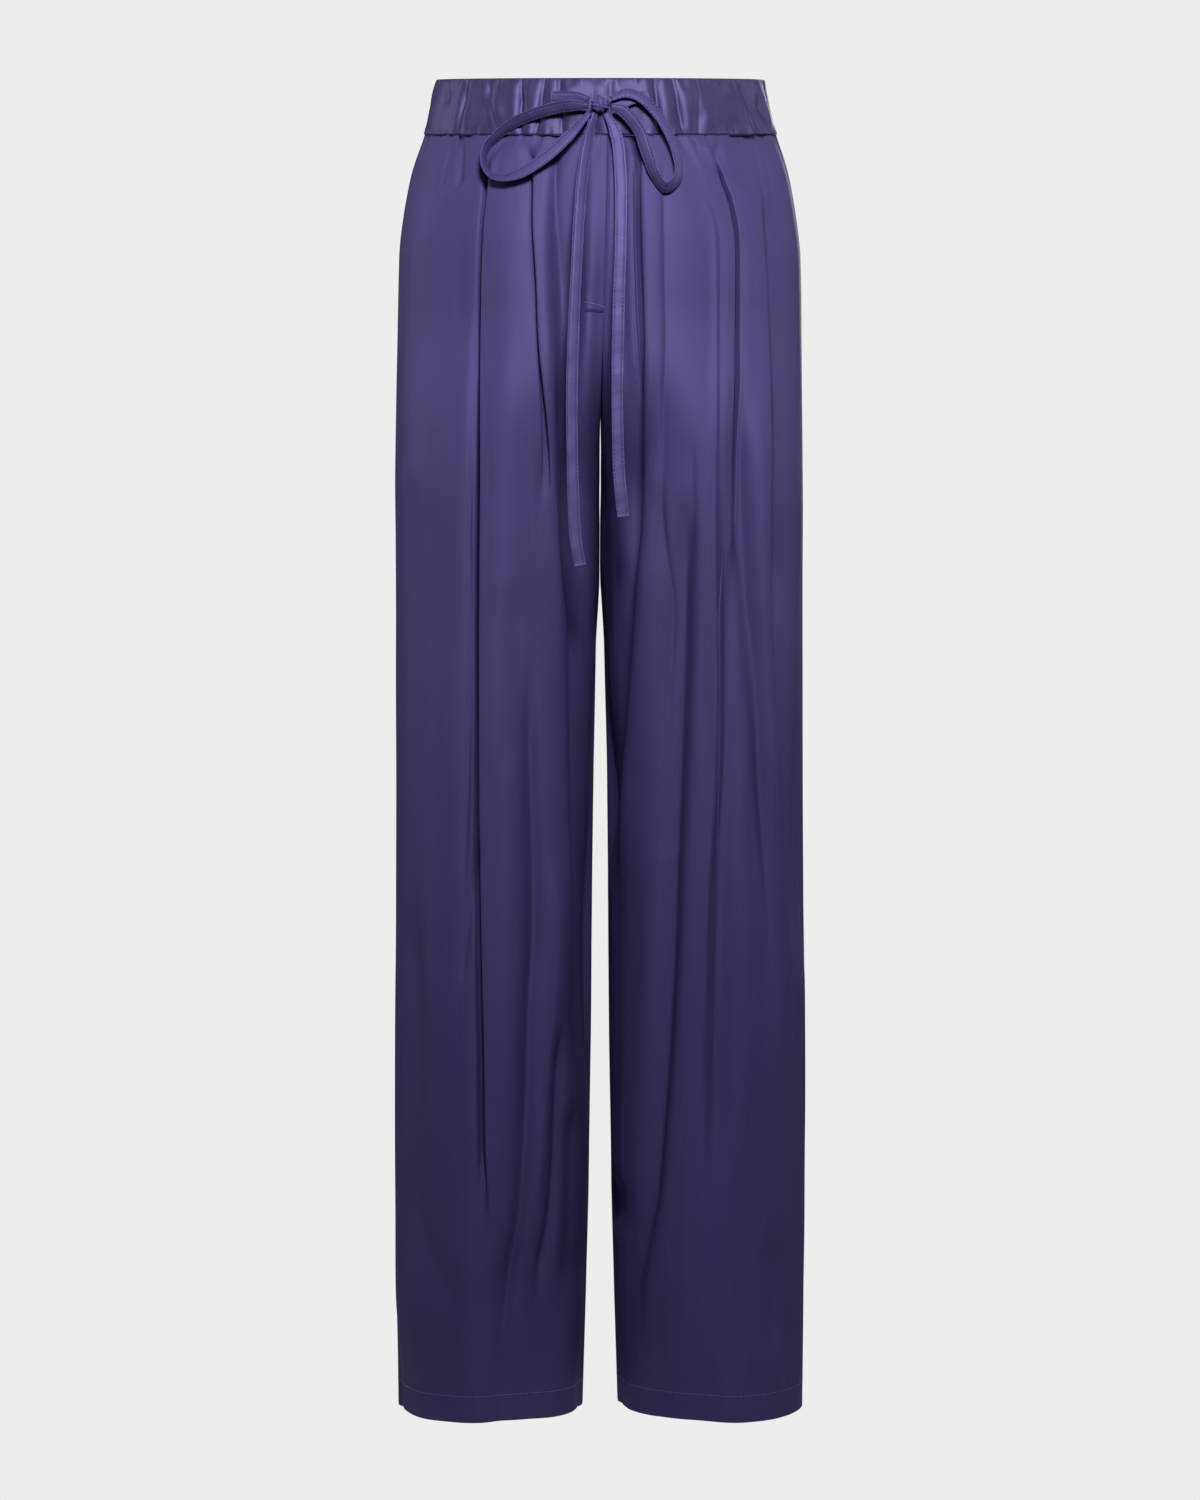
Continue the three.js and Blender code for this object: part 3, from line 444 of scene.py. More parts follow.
@dataclass(frozen=True)
class Gathers:
    """Small uneven tucks that run down from the waistband."""

    height: float
    shortest: float
    longest: float
    spacing: float
    width: float
    panel_width: float = 0.36
    ridge_share: float = 0.5
    hollow_depth: float = 0.9
    fade_power: float = 1.6
    widening: float = 1.4

    def heights(self, places: np.ndarray, below: float, seed: int) -> np.ndarray:
        """Return the tucks' height along a row.

        Args:
            places: distances from the side seam.
            below: distance under the waistband.
            seed: chooses the tucks of one panel.

        Returns:
            The height at each place.
        """
        draw = np.random.default_rng(seed)
        number = int(self.panel_width / self.spacing)
        centres = (np.arange(number) + draw.uniform(-0.35, 0.35, number)) * self.spacing
        reach = draw.uniform(self.shortest, self.longest, number) * draw.uniform(0.5, 1.0, number)
        tall = self.height * draw.uniform(0.35, 1.0, number)
        tall *= np.where(draw.random(number) < self.ridge_share, 1, -self.hollow_depth)
        wide = self.width * draw.uniform(0.7, 1.5, number)
        drift = draw.uniform(-0.06, 0.06, number)
        strength = tall * np.clip(1 - below / reach, 0, 1) ** self.fade_power
        grown = wide * (1 + self.widening * below / reach)
        away = (places[:, None] - centres - drift * below) / grown
        return (strength * np.exp(-away * away / 2)).sum(axis=1)


@dataclass(frozen=True)
class Ripples:
    """Long shallow waves of hanging satin, which bend its reflections."""

    height: float = 0.00024
    number: int = 9
    shortest: float = 0.011
    longest: float = 0.055

    def heights(self, places: np.ndarray, z: np.ndarray, seed: int) -> np.ndarray:
        """Return the waves' height at places along a row and heights z."""
        draw = np.random.default_rng(seed)
        total = np.zeros_like(places)
        for _ in range(self.number):
            across = draw.uniform(self.shortest, self.longest)
            down = draw.uniform(0.12, 0.5)
            phase, swing = draw.uniform(0, 2 * math.pi, 2)
            sway = 0.9 * np.sin(2 * math.pi * z / down + swing)
            fade = 0.55 + 0.45 * np.sin(2 * math.pi * z / (1.7 * down) + phase)
            wave = np.sin(2 * math.pi * places / across + phase + sway)
            total += fade * (across / self.longest) ** 0.5 * wave
        return self.height * total


MAIN_PLEAT = Pleat(FoldKind.KNIFE, Flap.CENTRE, (
    FoldPoint(-0.046, -0.0840, 0.0000, 0),
    FoldPoint(-0.060, -0.0850, 0.0040, 0.5),
    FoldPoint(-0.080, -0.0855, 0.0055, 1),
    FoldPoint(-0.115, -0.0885, 0.0060, 1),
    FoldPoint(-0.170, -0.0900, 0.0075, 1),
    FoldPoint(-0.230, -0.0902, 0.0100, 1),
    FoldPoint(-0.310, -0.0905, 0.0110, 1),
    FoldPoint(-0.430, -0.0915, 0.0095, 1),
    FoldPoint(-0.560, -0.0915, 0.0080, 1),
    FoldPoint(-0.670, -0.0895, 0.0075, 1),
    FoldPoint(-0.745, -0.0880, 0.0078, 1),
    FoldPoint(-0.820, -0.0875, 0.0074, 1),
    FoldPoint(-0.850, -0.0870, 0.0040, 0.6),
    FoldPoint(-0.870, -0.0862, 0.0022, 0.5),
    FoldPoint(-0.905, -0.0855, 0.0000, 0),
), slot=0.0065, sunk=0.85)
INNER_PLEAT = Pleat(FoldKind.KNIFE, Flap.CENTRE, (
    FoldPoint(-0.042, -0.0505, 0.0000, 0),
    FoldPoint(-0.056, -0.0505, 0.0040, 0.5),
    FoldPoint(-0.075, -0.0507, 0.0055, 1),
    FoldPoint(-0.115, -0.0505, 0.0075, 1),
    FoldPoint(-0.161, -0.0476, 0.0080, 1),
    FoldPoint(-0.207, -0.0453, 0.0070, 1),
    FoldPoint(-0.246, -0.0430, 0.0060, 1),
    FoldPoint(-0.276, -0.0418, 0.0052, 0.9),
    FoldPoint(-0.307, -0.0415, 0.0038, 0.6),
    FoldPoint(-0.345, -0.0410, 0.0000, 0),
), flap_reach=0.006)
STRIP_PLEAT = Pleat(FoldKind.KNIFE, Flap.SIDE, (
    FoldPoint(-0.042, 0.0310, 0.0000, 0),
    FoldPoint(-0.056, 0.0313, 0.0040, 0.5),
    FoldPoint(-0.075, 0.0315, 0.0055, 1),
    FoldPoint(-0.130, 0.0325, 0.0075, 1),
    FoldPoint(-0.177, 0.0340, 0.0080, 1),
    FoldPoint(-0.215, 0.0345, 0.0075, 1),
    FoldPoint(-0.246, 0.0325, 0.0050, 0.8),
    FoldPoint(-0.284, 0.0292, 0.0045, 0.55),
    FoldPoint(-0.310, 0.0265, 0.0040, 0.5),
    FoldPoint(-0.350, 0.0240, 0.0000, 0),
), under_reach=0.010, flap_reach=0.006, slot=0.006)
PRESSED_CREASE = Pleat(FoldKind.CREASE, Flap.SIDE, (
    FoldPoint(-0.022, 0.0652, 0.0000, 0),
    FoldPoint(-0.062, 0.0712, 0.0000, 0),
    FoldPoint(-0.084, 0.0782, 0.0000, 0),
    FoldPoint(-0.110, 0.0867, 0.0010, 1),
    FoldPoint(-0.140, 0.0885, 0.0020, 1),
    FoldPoint(-0.236, 0.0880, 0.0024, 1),
    FoldPoint(-0.322, 0.0872, 0.0028, 1),
    FoldPoint(-0.399, 0.0874, 0.0028, 1),
    FoldPoint(-0.476, 0.0884, 0.0026, 1),
    FoldPoint(-0.553, 0.0864, 0.0024, 1),
    FoldPoint(-0.630, 0.0817, 0.0020, 1),
    FoldPoint(-0.706, 0.0796, 0.0014, 1),
    FoldPoint(-0.800, 0.0752, 0.0000, 0),
))
SLANTED_PLEAT = Pleat(FoldKind.KNIFE, Flap.CENTRE, (
    FoldPoint(-0.036, 0.0840, 0.0000, 0),
    FoldPoint(-0.050, 0.0865, 0.0040, 0.5),
    FoldPoint(-0.070, 0.0910, 0.0050, 1),
    FoldPoint(-0.090, 0.0975, 0.0055, 1),
    FoldPoint(-0.110, 0.1020, 0.0075, 1),
    FoldPoint(-0.128, 0.1035, 0.0140, 1),
    FoldPoint(-0.160, 0.1035, 0.0150, 1),
    FoldPoint(-0.195, 0.1030, 0.0125, 1),
    FoldPoint(-0.245, 0.1025, 0.0105, 1),
    FoldPoint(-0.290, 0.1030, 0.0070, 1),
    FoldPoint(-0.325, 0.1040, 0.0045, 0.8),
    FoldPoint(-0.355, 0.1055, 0.0030, 0.5),
    FoldPoint(-0.410, 0.1080, 0.0000, 0),
), under_reach=0.015, flap_reach=0.005, slot=0.0075, sunk=0.95, wall=0.15, under_points=24)
FLY_LINE = Pleat(FoldKind.LINE, Flap.CENTRE, (
    FoldPoint(-0.040, -0.0120, 0.0, 1),
    FoldPoint(-0.216, -0.0120, 0.0, 1),
    FoldPoint(-0.330, -0.0180, 0.0, 0),
))

FRONT_RIGHT_FOLDS = (
    SoftFold((-0.110, -0.110), (-0.036, -0.076), -0.0040, 0.004, 0.0025, 1.6, 0.9),
    SoftFold((-0.1165, -0.125), (-0.036, -0.080), -0.0018, 0.0014, 0.003, 1.4, 0.8),
    SoftFold((-0.1120, -0.1130, -0.1130, -0.1125),
             (-0.064, -0.110, -0.140, -0.178), -0.0013, 0.003, 0.0013, 1.3),
    SoftFold((-0.138, -0.142, -0.143), (-0.090, -0.190, -0.320), 0.0030, 0.010, 0.012),
    SoftFold((-0.0937, -0.096, -0.0975, -0.0998, -0.0995, -0.101, -0.1033),
             (-0.169, -0.207, -0.284, -0.345, -0.438, -0.522, -0.607), -0.0026, 0.0024, 0.0016, 1.3),
    SoftFold((-0.092, -0.097, -0.101, -0.1035),
             (-0.590, -0.622, -0.660, -0.688), -0.0026, 0.0024, 0.0018, 1.3),
    SoftFold((-0.070, -0.070, -0.072, -0.070, -0.068),
             (-0.090, -0.250, -0.450, -0.650, -0.800), 0.0030, 0.014, 0.010),
    SoftFold((-0.033, -0.0361, -0.0369, -0.0338),
             (-0.042, -0.092, -0.138, -0.192), -0.0032, 0.0022, 0.0034, 1.4),
    SoftFold((-0.0361, -0.033, -0.0307, -0.0284, -0.0269, -0.0261, -0.0238, -0.0195),
             (-0.180, -0.246, -0.322, -0.399, -0.476, -0.553, -0.614, -0.690),
             0.0050, 0.012, 0.0045, 1.4, 0.15, 0.3),
    SoftFold((-0.020, -0.0205, -0.0195, -0.0175, -0.0160, -0.0150, -0.0130, -0.0115),
             (-0.100, -0.220, -0.322, -0.399, -0.476, -0.553, -0.630, -0.740),
             -0.0090, 0.0080, 0.0055, 2.0, 0.2, 0.3),
    SoftFold((-0.0340, -0.0325, -0.0310, -0.0290, -0.0250), (-0.110, -0.170, -0.230, -0.300, -0.380),
             -0.0080, 0.0030, 0.0070, 1.7, 0.4),
    SoftFold((-0.0676, -0.0668), (-0.400, -0.520), -0.0016, 0.007, 0.007),
    SoftFold((-0.0538, -0.0515, -0.050, -0.0507, -0.0538, -0.056, -0.0584, -0.0622, -0.0683, -0.073),
             (-0.476, -0.553, -0.614, -0.668, -0.706, -0.768, -0.822, -0.875, -0.929, -0.960),
             -0.0048, 0.0048, 0.0036, 1.8, 0.2),
    SoftFold((-0.0369, -0.0361, -0.0384, -0.0415, -0.0461, -0.0492),
             (-0.614, -0.668, -0.722, -0.768, -0.814, -0.852), 0.0030, 0.005, 0.007, 1.5),
    SoftFold((-0.0307, -0.0323, -0.033, -0.0361, -0.0422), (-0.737, -0.783, -0.829, -0.875, -0.929),
             -0.0044, 0.004, 0.0036, 1.7),
    SoftFold((-0.0200, -0.0190), (-0.800, -0.936), -0.0045, 0.006, 0.005),
    SoftFold((-0.0955, -0.0955, -0.0965),
             (-0.640, -0.840, -0.930), 0.0062, 0.029, 0.025, 3.0, 0.9, 0.14, 0.028),
    SoftFold((-0.085, -0.085), (-0.985, -1.150), -0.0110, 0.058, 0.046, 3.0, 0.55),
    SoftFold((-0.052, -0.050), (-0.905, -1.100), -0.0075, 0.030, 0.022, 3.0, 0.4),
    SoftFold((-0.146, -0.146), (-0.650, -0.900), -0.0025, 0.008, 0.008),
    SoftFold((-0.120, -0.124, -0.122), (-0.420, -0.640, -0.850), 0.0022, 0.010, 0.010),
)
FRONT_LEFT_FOLDS = (
    SoftFold((0.112, 0.113), (-0.030, -0.078), -0.0030, 0.010, 0.010, 2.0, 0.95),
    SoftFold((0.122, 0.129, 0.135), (-0.036, -0.070, -0.110), -0.0018, 0.003, 0.0016, 1.4, 0.7),
    SoftFold((0.129, 0.136, 0.143), (-0.036, -0.076, -0.120), -0.0016, 0.003, 0.0016, 1.4, 0.7),
    SoftFold((0.0484, 0.0490, 0.0498, 0.0484, 0.0476), (-0.080, -0.153, -0.200, -0.246, -0.322),
             -0.0020, 0.0012, 0.0045, 1.2),
    SoftFold((0.0230, 0.0255, 0.0265, 0.0260, 0.0240), (-0.060, -0.160, -0.230, -0.290, -0.345),
             -0.0085, 0.0065, 0.0045, 2.0, 0.4),
    SoftFold((0.0261, 0.0230, 0.0207, 0.0184, 0.0161, 0.0131, 0.0100, 0.0084),
             (-0.300, -0.361, -0.399, -0.438, -0.476, -0.514, -0.553, -0.591),
             -0.0090, 0.006, 0.0045, 1.7, 0.2),
    SoftFold((0.0330, 0.0300, 0.0275, 0.0265, 0.0250, 0.0205, 0.0165),
             (-0.300, -0.361, -0.399, -0.438, -0.476, -0.530, -0.600), 0.0040, 0.0035, 0.010, 1.5, 0.2),
    SoftFold((0.0461, 0.0492, 0.0522, 0.0515, 0.0492), (-0.322, -0.3685, -0.399, -0.438, -0.480),
             -0.0036, 0.007, 0.0022, 1.4, 0.3, 0.9),
    SoftFold((0.0706, 0.0714, 0.0710), (-0.284, -0.322, -0.370), -0.0012, 0.006, 0.0012, 1.2),
    SoftFold((0.0645, 0.0640, 0.0630, 0.0622, 0.0606, 0.0591, 0.0572, 0.0558),
             (-0.345, -0.3685, -0.399, -0.438, -0.476, -0.514, -0.553, -0.591),
             -0.0078, 0.0090, 0.0056, 2.0, 0.3, 0.1),
    SoftFold((0.0558, 0.0545, 0.0530, 0.0507, 0.0484, 0.0453, 0.0415, 0.0376, 0.0315, 0.0269),
             (-0.591, -0.630, -0.668, -0.706, -0.745, -0.783, -0.822, -0.860, -0.898, -0.929),
             -0.0078, 0.0085, 0.0050, 2.0, 0.1, 0.4),
    SoftFold((0.0965, 0.0980, 0.0985, 0.0975, 0.0955, 0.0930, 0.0910, 0.0890, 0.0870),
             (-0.330, -0.399, -0.461, -0.514, -0.553, -0.591, -0.668, -0.745, -0.822),
             -0.0068, 0.0045, 0.010),
    SoftFold((0.125, 0.1267, 0.1275, 0.129, 0.130, 0.1335, 0.137),
             (-0.115, -0.207, -0.284, -0.369, -0.430, -0.499, -0.553),
             0.0034, 0.006, 0.004),
    SoftFold((0.1336, 0.1382, 0.1405, 0.139, 0.142),
             (-0.100, -0.169, -0.246, -0.322, -0.400), -0.0050, 0.005, 0.008),
    SoftFold((0.1110, 0.1129, 0.1152, 0.1175, 0.1206, 0.1244, 0.1267, 0.1290, 0.1321),
             (-0.262, -0.307, -0.353, -0.399, -0.430, -0.476, -0.514, -0.553, -0.640),
             -0.0075, 0.008, 0.0030, 1.6, 0.2, 0.6),
    SoftFold((0.1345, 0.1355, 0.1380, 0.1425, 0.1456, 0.1500, 0.1530),
             (-0.330, -0.399, -0.476, -0.514, -0.553, -0.591, -0.660), -0.0050, 0.0028, 0.010, 1.6, 0.3),
    SoftFold((0.0115, 0.0118), (-0.857, -0.886), -0.0045, 0.004, 0.005),
    SoftFold((0.135, 0.137), (-0.900, -0.975), -0.0030, 0.008, 0.008),
    SoftFold((0.060, 0.064), (-0.980, -1.150), -0.0090, 0.034, 0.028, 3.0, 0.6),
)
BACK_RIGHT_FOLDS = (
    SoftFold((-0.118, -0.121, -0.120, -0.117), (-0.060, -0.220, -0.420, -0.700), -0.0050, 0.006, 0.009),
    SoftFold((-0.086, -0.090, -0.093), (-0.040, -0.150, -0.300), -0.0042, 0.003, 0.006, 1.5),
    SoftFold((-0.052, -0.056, -0.066, -0.070), (-0.040, -0.200, -0.420, -0.760), -0.0052, 0.009, 0.006, 1.7),
    SoftFold((-0.022, -0.026, -0.031), (-0.045, -0.130, -0.230), -0.0042, 0.003, 0.005, 1.5),
    SoftFold((-0.014, -0.034, -0.066), (-0.300, -0.345, -0.440), -0.0045, 0.008, 0.008, 2.0, 0.5, 0.9),
    SoftFold((-0.038, -0.040, -0.044), (-0.420, -0.600, -0.880), 0.0042, 0.007, 0.009),
    SoftFold((-0.104, -0.098, -0.101), (-0.560, -0.760, -0.980), 0.0042, 0.009, 0.012),
    SoftFold((-0.084, -0.080, -0.074), (-0.460, -0.640, -0.860), -0.0040, 0.006, 0.004, 1.6),
)
BACK_LEFT_FOLDS = (
    SoftFold((0.112, 0.117, 0.119, 0.121), (-0.050, -0.180, -0.400, -0.640), -0.0050, 0.009, 0.006),
    SoftFold((0.078, 0.080, 0.086, 0.092), (-0.040, -0.130, -0.320, -0.520), -0.0050, 0.006, 0.004, 1.6),
    SoftFold((0.046, 0.049, 0.058, 0.066), (-0.042, -0.210, -0.460, -0.820), -0.0044, 0.007, 0.009),
    SoftFold((0.019, 0.024, 0.027), (-0.045, -0.150, -0.260), -0.0042, 0.005, 0.003, 1.5),
    SoftFold((0.014, 0.038, 0.072), (-0.306, -0.350, -0.460), -0.0045, 0.008, 0.008, 2.0, 0.5, 0.9),
    SoftFold((0.036, 0.041, 0.045), (-0.440, -0.640, -0.900), 0.0042, 0.009, 0.007),
    SoftFold((0.128, 0.134, 0.129), (-0.600, -0.800, -0.990), 0.0032, 0.010, 0.010),
    SoftFold((0.100, 0.094, 0.088), (-0.540, -0.720, -0.900), -0.0040, 0.004, 0.007, 1.6),
)


# Meshes


def add_object(name: str, mesh: bpy.types.Mesh) -> bpy.types.Object:
    """Return a new object at the origin that shows the mesh."""
    piece = bpy.data.objects.new(name, mesh)
    bpy.context.scene.collection.objects.link(piece)
    return piece


def mesh_of(name: str, points: np.ndarray, faces: list, uv: np.ndarray | None = None) -> bpy.types.Mesh:
    """Return a smooth-shaded mesh.

    Args:
        name: the mesh's name.
        points: an array of x, y and z.
        faces: corner numbers of each face.
        uv: a place on the cloth for each point, in metres.

    Returns:
        The mesh, with a UV map where uv is given.
    """
    mesh = bpy.data.meshes.new(name)
    mesh.from_pydata(points.tolist(), [], faces)
    mesh.polygons.foreach_set("use_smooth", [True] * len(mesh.polygons))
    if uv is not None:
        layer = mesh.uv_layers.new(name="cloth")
        corners = np.empty(len(mesh.loops), dtype=np.int32)
        mesh.loops.foreach_get("vertex_index", corners)
        layer.data.foreach_set("uv", uv[corners].astype(np.float32).ravel())
    mesh.update()
    return mesh


def grid_faces(rows: int, cols: int, flip: bool, around: bool = False) -> list:
    """Return the faces of a grid of points.

    Args:
        rows: the number of rows.
        cols: the points in each.
        flip: turns the faces over.
        around: joins the last point of each row to its first.

    Returns:
        Corner numbers of each four-sided face.
    """
    last = cols if around else cols - 1
    r, c = np.meshgrid(np.arange(rows - 1), np.arange(last), indexing="ij")
    across = (c + 1) % cols
    corners = [r * cols + c, (r + 1) * cols + c, (r + 1) * cols + across, r * cols + across]
    quads = np.stack([a.ravel() for a in corners], axis=1)
    return (quads[:, ::-1] if flip else quads).tolist()


def outward(grid: np.ndarray, flip: bool) -> np.ndarray:
    """Return the unit normals of a grid of points, turned over where flip is true."""
    down = np.gradient(grid, axis=0)
    along = np.gradient(grid, axis=1)
    normal = np.cross(down, along)
    normal /= np.linalg.norm(normal, axis=2, keepdims=True) + 1e-12
    return -normal if flip else normal


def capped_faces(rings: int, sides: int, flip: bool) -> list:
    """Return the faces of a tube of rings with both of its ends closed."""
    faces = grid_faces(rings, sides, flip, around=True)
    faces.append(list(range(sides)))
    faces.append([(rings - 1) * sides + c for c in range(sides)][::-1])
    return faces


def give_thickness(piece: bpy.types.Object, thickness: float) -> None:
    """Give a sheet its thickness, outwards; its wrong side takes the second material."""
    wall = piece.modifiers.new("thickness", "SOLIDIFY")
    wall.thickness = thickness
    wall.offset = 1.0
    wall.use_rim = True
    wall.material_offset = 1
    wall.material_offset_rim = 0


def dress(
    name: str,
    node: str,
    grid: np.ndarray,
    faces: list,
    uv: np.ndarray,
    finishes: tuple,
    thickness: float = 0.0,
) -> bpy.types.Object:
    """Return a piece that takes the place of a solid on the body.

    Args:
        name: the piece's name.
        node: the solid that it replaces.
        grid: its points, in rows.
        faces: corner numbers of each face.
        uv: a place on the cloth for each point, in metres.
        finishes: its finish, and that of its wrong side where it is a thin sheet.
        thickness: a thin sheet's thickness.

    Returns:
        The piece, its faces in its first finish.
    """
    piece = add_object(name, mesh_of(name, grid.reshape(-1, 3), faces, uv.reshape(-1, 2)))
    for finish in finishes:
        piece.data.materials.append(finish.material())
    if thickness:
        give_thickness(piece, thickness)
    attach(piece, BODY)
    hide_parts(node)
    return piece


# Finishes


class Groups:
    """Shader groups that several finishes share."""

    FLOAT = "NodeSocketFloat"
    COLOUR = "NodeSocketColor"
    VECTOR = "NodeSocketVector"

    @staticmethod
    def _sockets(tree: bpy.types.NodeTree, inputs: tuple, outputs: tuple) -> None:
        """Add a group's named sockets, its inputs with their own values where they have them."""
        for name, kind, value in inputs:
            socket = tree.interface.new_socket(name, in_out="INPUT", socket_type=kind)
            if value is not None:
                socket.default_value = value
        for name, kind in outputs:
            tree.interface.new_socket(name, in_out="OUTPUT", socket_type=kind)

    @classmethod
    def satin_weave(cls) -> bpy.types.NodeTree:
        """Return the group that draws long satin floats over a cloth's own map.

        Returns:
            A group with the tone, the roughness and the height of the weave.
        """
        known = bpy.data.node_groups.get("satin_weave")
        if known:
            return known
        tree = bpy.data.node_groups.new("satin_weave", "ShaderNodeTree")
        inputs = (
            ("Cloth", cls.VECTOR, None),
            ("Threads per metre", cls.FLOAT, 3200.0),
            ("Streaks", cls.FLOAT, 0.5),
            ("Roughness", cls.FLOAT, 0.4),
        )
        outputs = (("Tone", cls.FLOAT), ("Surface roughness", cls.FLOAT), ("Height", cls.FLOAT))
        cls._sockets(tree, inputs, outputs)
        build = NodeKit(tree)
        into = build.node("NodeGroupInput")
        out = build.node("NodeGroupOutput")
        scaled = build.node("ShaderNodeVectorMath", operation="SCALE")
        build.link(into.outputs["Cloth"], scaled.inputs[0])
        build.link(into.outputs["Threads per metre"], scaled.inputs["Scale"])
        floats = build.node("ShaderNodeVectorMath", operation="MULTIPLY")
        floats.inputs[1].default_value = (1.0, 0.12, 1.0)
        build.link(scaled.outputs[0], floats.inputs[0])
        grain = build.noise(floats.outputs[0], 1.0, 2.0, 0.55)
        parts = build.node("ShaderNodeSeparateXYZ")
        build.link(scaled.outputs[0], parts.inputs[0])
        thread = build.math("PINGPONG", parts.outputs["X"], 0.5)
        long_streaks = build.node("ShaderNodeVectorMath", operation="MULTIPLY")
        long_streaks.inputs[1].default_value = (420.0, 14.0, 1.0)
        build.link(into.outputs["Cloth"], long_streaks.inputs[0])
        streaks = build.noise(long_streaks.outputs[0], 1.0, 3.0, 0.6)
        centred = build.math("SUBTRACT", streaks, 0.5)
        strong = build.math("MULTIPLY", centred, into.outputs["Streaks"])
        fine = build.math("SUBTRACT", grain, 0.5)
        faint = build.math("MULTIPLY", fine, 0.35)
        slubs = build.math("SUBTRACT", build.noise(into.outputs["Cloth"], 620.0, 2.0, 0.6), 0.5)
        tone = build.math("ADD", strong, build.math("ADD", faint, build.math("MULTIPLY", slubs, 0.9)))
        build.link(build.math("ADD", tone, 0.5), out.inputs["Tone"])
        rough = build.math("MULTIPLY", tone, 0.14)
        build.link(build.math("ADD", rough, into.outputs["Roughness"]), out.inputs["Surface roughness"])
        height = build.math("ADD", build.math("MULTIPLY", thread, 0.8), grain)
        build.link(height, out.inputs["Height"])
        return tree

    @classmethod
    def soft_variation(cls) -> bpy.types.NodeTree:
        """Return the group that shades a cloth unevenly over hand-sized areas."""
        known = bpy.data.node_groups.get("soft_variation")
        if known:
            return known
        tree = bpy.data.node_groups.new("soft_variation", "ShaderNodeTree")
        inputs = (
            ("Place", cls.VECTOR, None),
            ("Colour", cls.COLOUR, (0.1, 0.1, 0.1, 1)),
            ("Deep colour", cls.COLOUR, (0.05, 0.05, 0.05, 1)),
            ("Tone", cls.FLOAT, 0.5),
            ("Amount", cls.FLOAT, 0.5),
        )
        cls._sockets(tree, inputs, (("Colour", cls.COLOUR),))
        build = NodeKit(tree)
        into = build.node("NodeGroupInput")
        out = build.node("NodeGroupOutput")
        stretch = build.node("ShaderNodeVectorMath", operation="MULTIPLY")
        stretch.inputs[1].default_value = (16.0, 16.0, 5.0)
        build.link(into.outputs["Place"], stretch.inputs[0])
        cloud = build.noise(stretch.outputs[0], 1.0, 3.0, 0.5)
        spread = build.math("MULTIPLY", build.math("SUBTRACT", cloud, 0.5), into.outputs["Amount"])
        total = build.math("ADD", spread, into.outputs["Tone"], clamp=True)
        blend = build.node("ShaderNodeMix", data_type="RGBA")
        build.link(total, blend.inputs[0])
        build.link(into.outputs["Deep colour"], blend.inputs[6])
        build.link(into.outputs["Colour"], blend.inputs[7])
        build.link(blend.outputs[2], out.inputs["Colour"])
        return tree


@dataclass
class NodeKit:
    """Adds and joins nodes in one tree."""

    tree: bpy.types.NodeTree

    def node(self, kind: str, **settings) -> bpy.types.Node:
        """Return a new node with its settings."""
        made = self.tree.nodes.new(kind)
        for key, value in settings.items():
            setattr(made, key, value)
        return made

    def link(self, source, target) -> None:
        """Join an output to an input."""
        self.tree.links.new(source, target)

    def fill(self, socket, value) -> None:
        """Join a socket to an output, or set its own value."""
        if isinstance(value, bpy.types.NodeSocket):
            self.link(value, socket)
        else:
            socket.default_value = value

    def math(self, operation: str, first, second, clamp: bool = False):
        """Return the output of a math node."""
        made = self.node("ShaderNodeMath", operation=operation, use_clamp=clamp)
        self.fill(made.inputs[0], first)
        self.fill(made.inputs[1], second)
        return made.outputs[0]

    def noise(self, place, scale: float, detail: float, roughness: float):
        """Return the value of a noise texture at a place."""
        made = self.node("ShaderNodeTexNoise")
        self.link(place, made.inputs["Vector"])
        made.inputs["Scale"].default_value = scale
        made.inputs["Detail"].default_value = detail
        made.inputs["Roughness"].default_value = roughness
        return made.outputs["Fac"]


@dataclass(frozen=True)
class SatinFinish:
    """A satin: its two tones, how sharply it shines and how coarse its weave is."""

    name: str
    slot: str
    colour: tuple
    deep: tuple
    roughness: float = 0.70
    specular: float = 0.2
    metallic: float = 0.40
    streaks: float = 0.5
    amount: float = 0.7
    threads_per_metre: float = 3200.0
    relief: float = 0.00006
    relief_strength: float = 0.25

    def material(self) -> bpy.types.Material:
        """Return the finish as a material, built once."""
        known = bpy.data.materials.get(self.name)
        if known:
            return known
        made = bpy.data.materials.new(self.name)
        made.use_nodes = True
        build = NodeKit(made.node_tree)
        shader = made.node_tree.nodes["Principled BSDF"]
        where = build.node("ShaderNodeTexCoord")
        weave = build.node("ShaderNodeGroup", node_tree=Groups.satin_weave())
        weave.inputs["Threads per metre"].default_value = self.threads_per_metre
        weave.inputs["Streaks"].default_value = self.streaks
        weave.inputs["Roughness"].default_value = self.roughness
        build.link(where.outputs["UV"], weave.inputs["Cloth"])
        tone = build.node("ShaderNodeGroup", node_tree=Groups.soft_variation())
        tone.inputs["Colour"].default_value = (*self.colour, 1)
        tone.inputs["Deep colour"].default_value = (*self.deep, 1)
        tone.inputs["Amount"].default_value = self.amount
        build.link(where.outputs["Object"], tone.inputs["Place"])
        build.link(weave.outputs["Tone"], tone.inputs["Tone"])
        build.link(tone.outputs["Colour"], shader.inputs["Base Color"])
        build.link(weave.outputs["Surface roughness"], shader.inputs["Roughness"])
        bump = build.node("ShaderNodeBump")
        bump.inputs["Strength"].default_value = self.relief_strength
        bump.inputs["Distance"].default_value = self.relief
        build.link(weave.outputs["Height"], bump.inputs["Height"])
        build.link(bump.outputs["Normal"], shader.inputs["Normal"])
        shader.inputs["Specular IOR Level"].default_value = self.specular
        shader.inputs["Metallic"].default_value = self.metallic
        return made


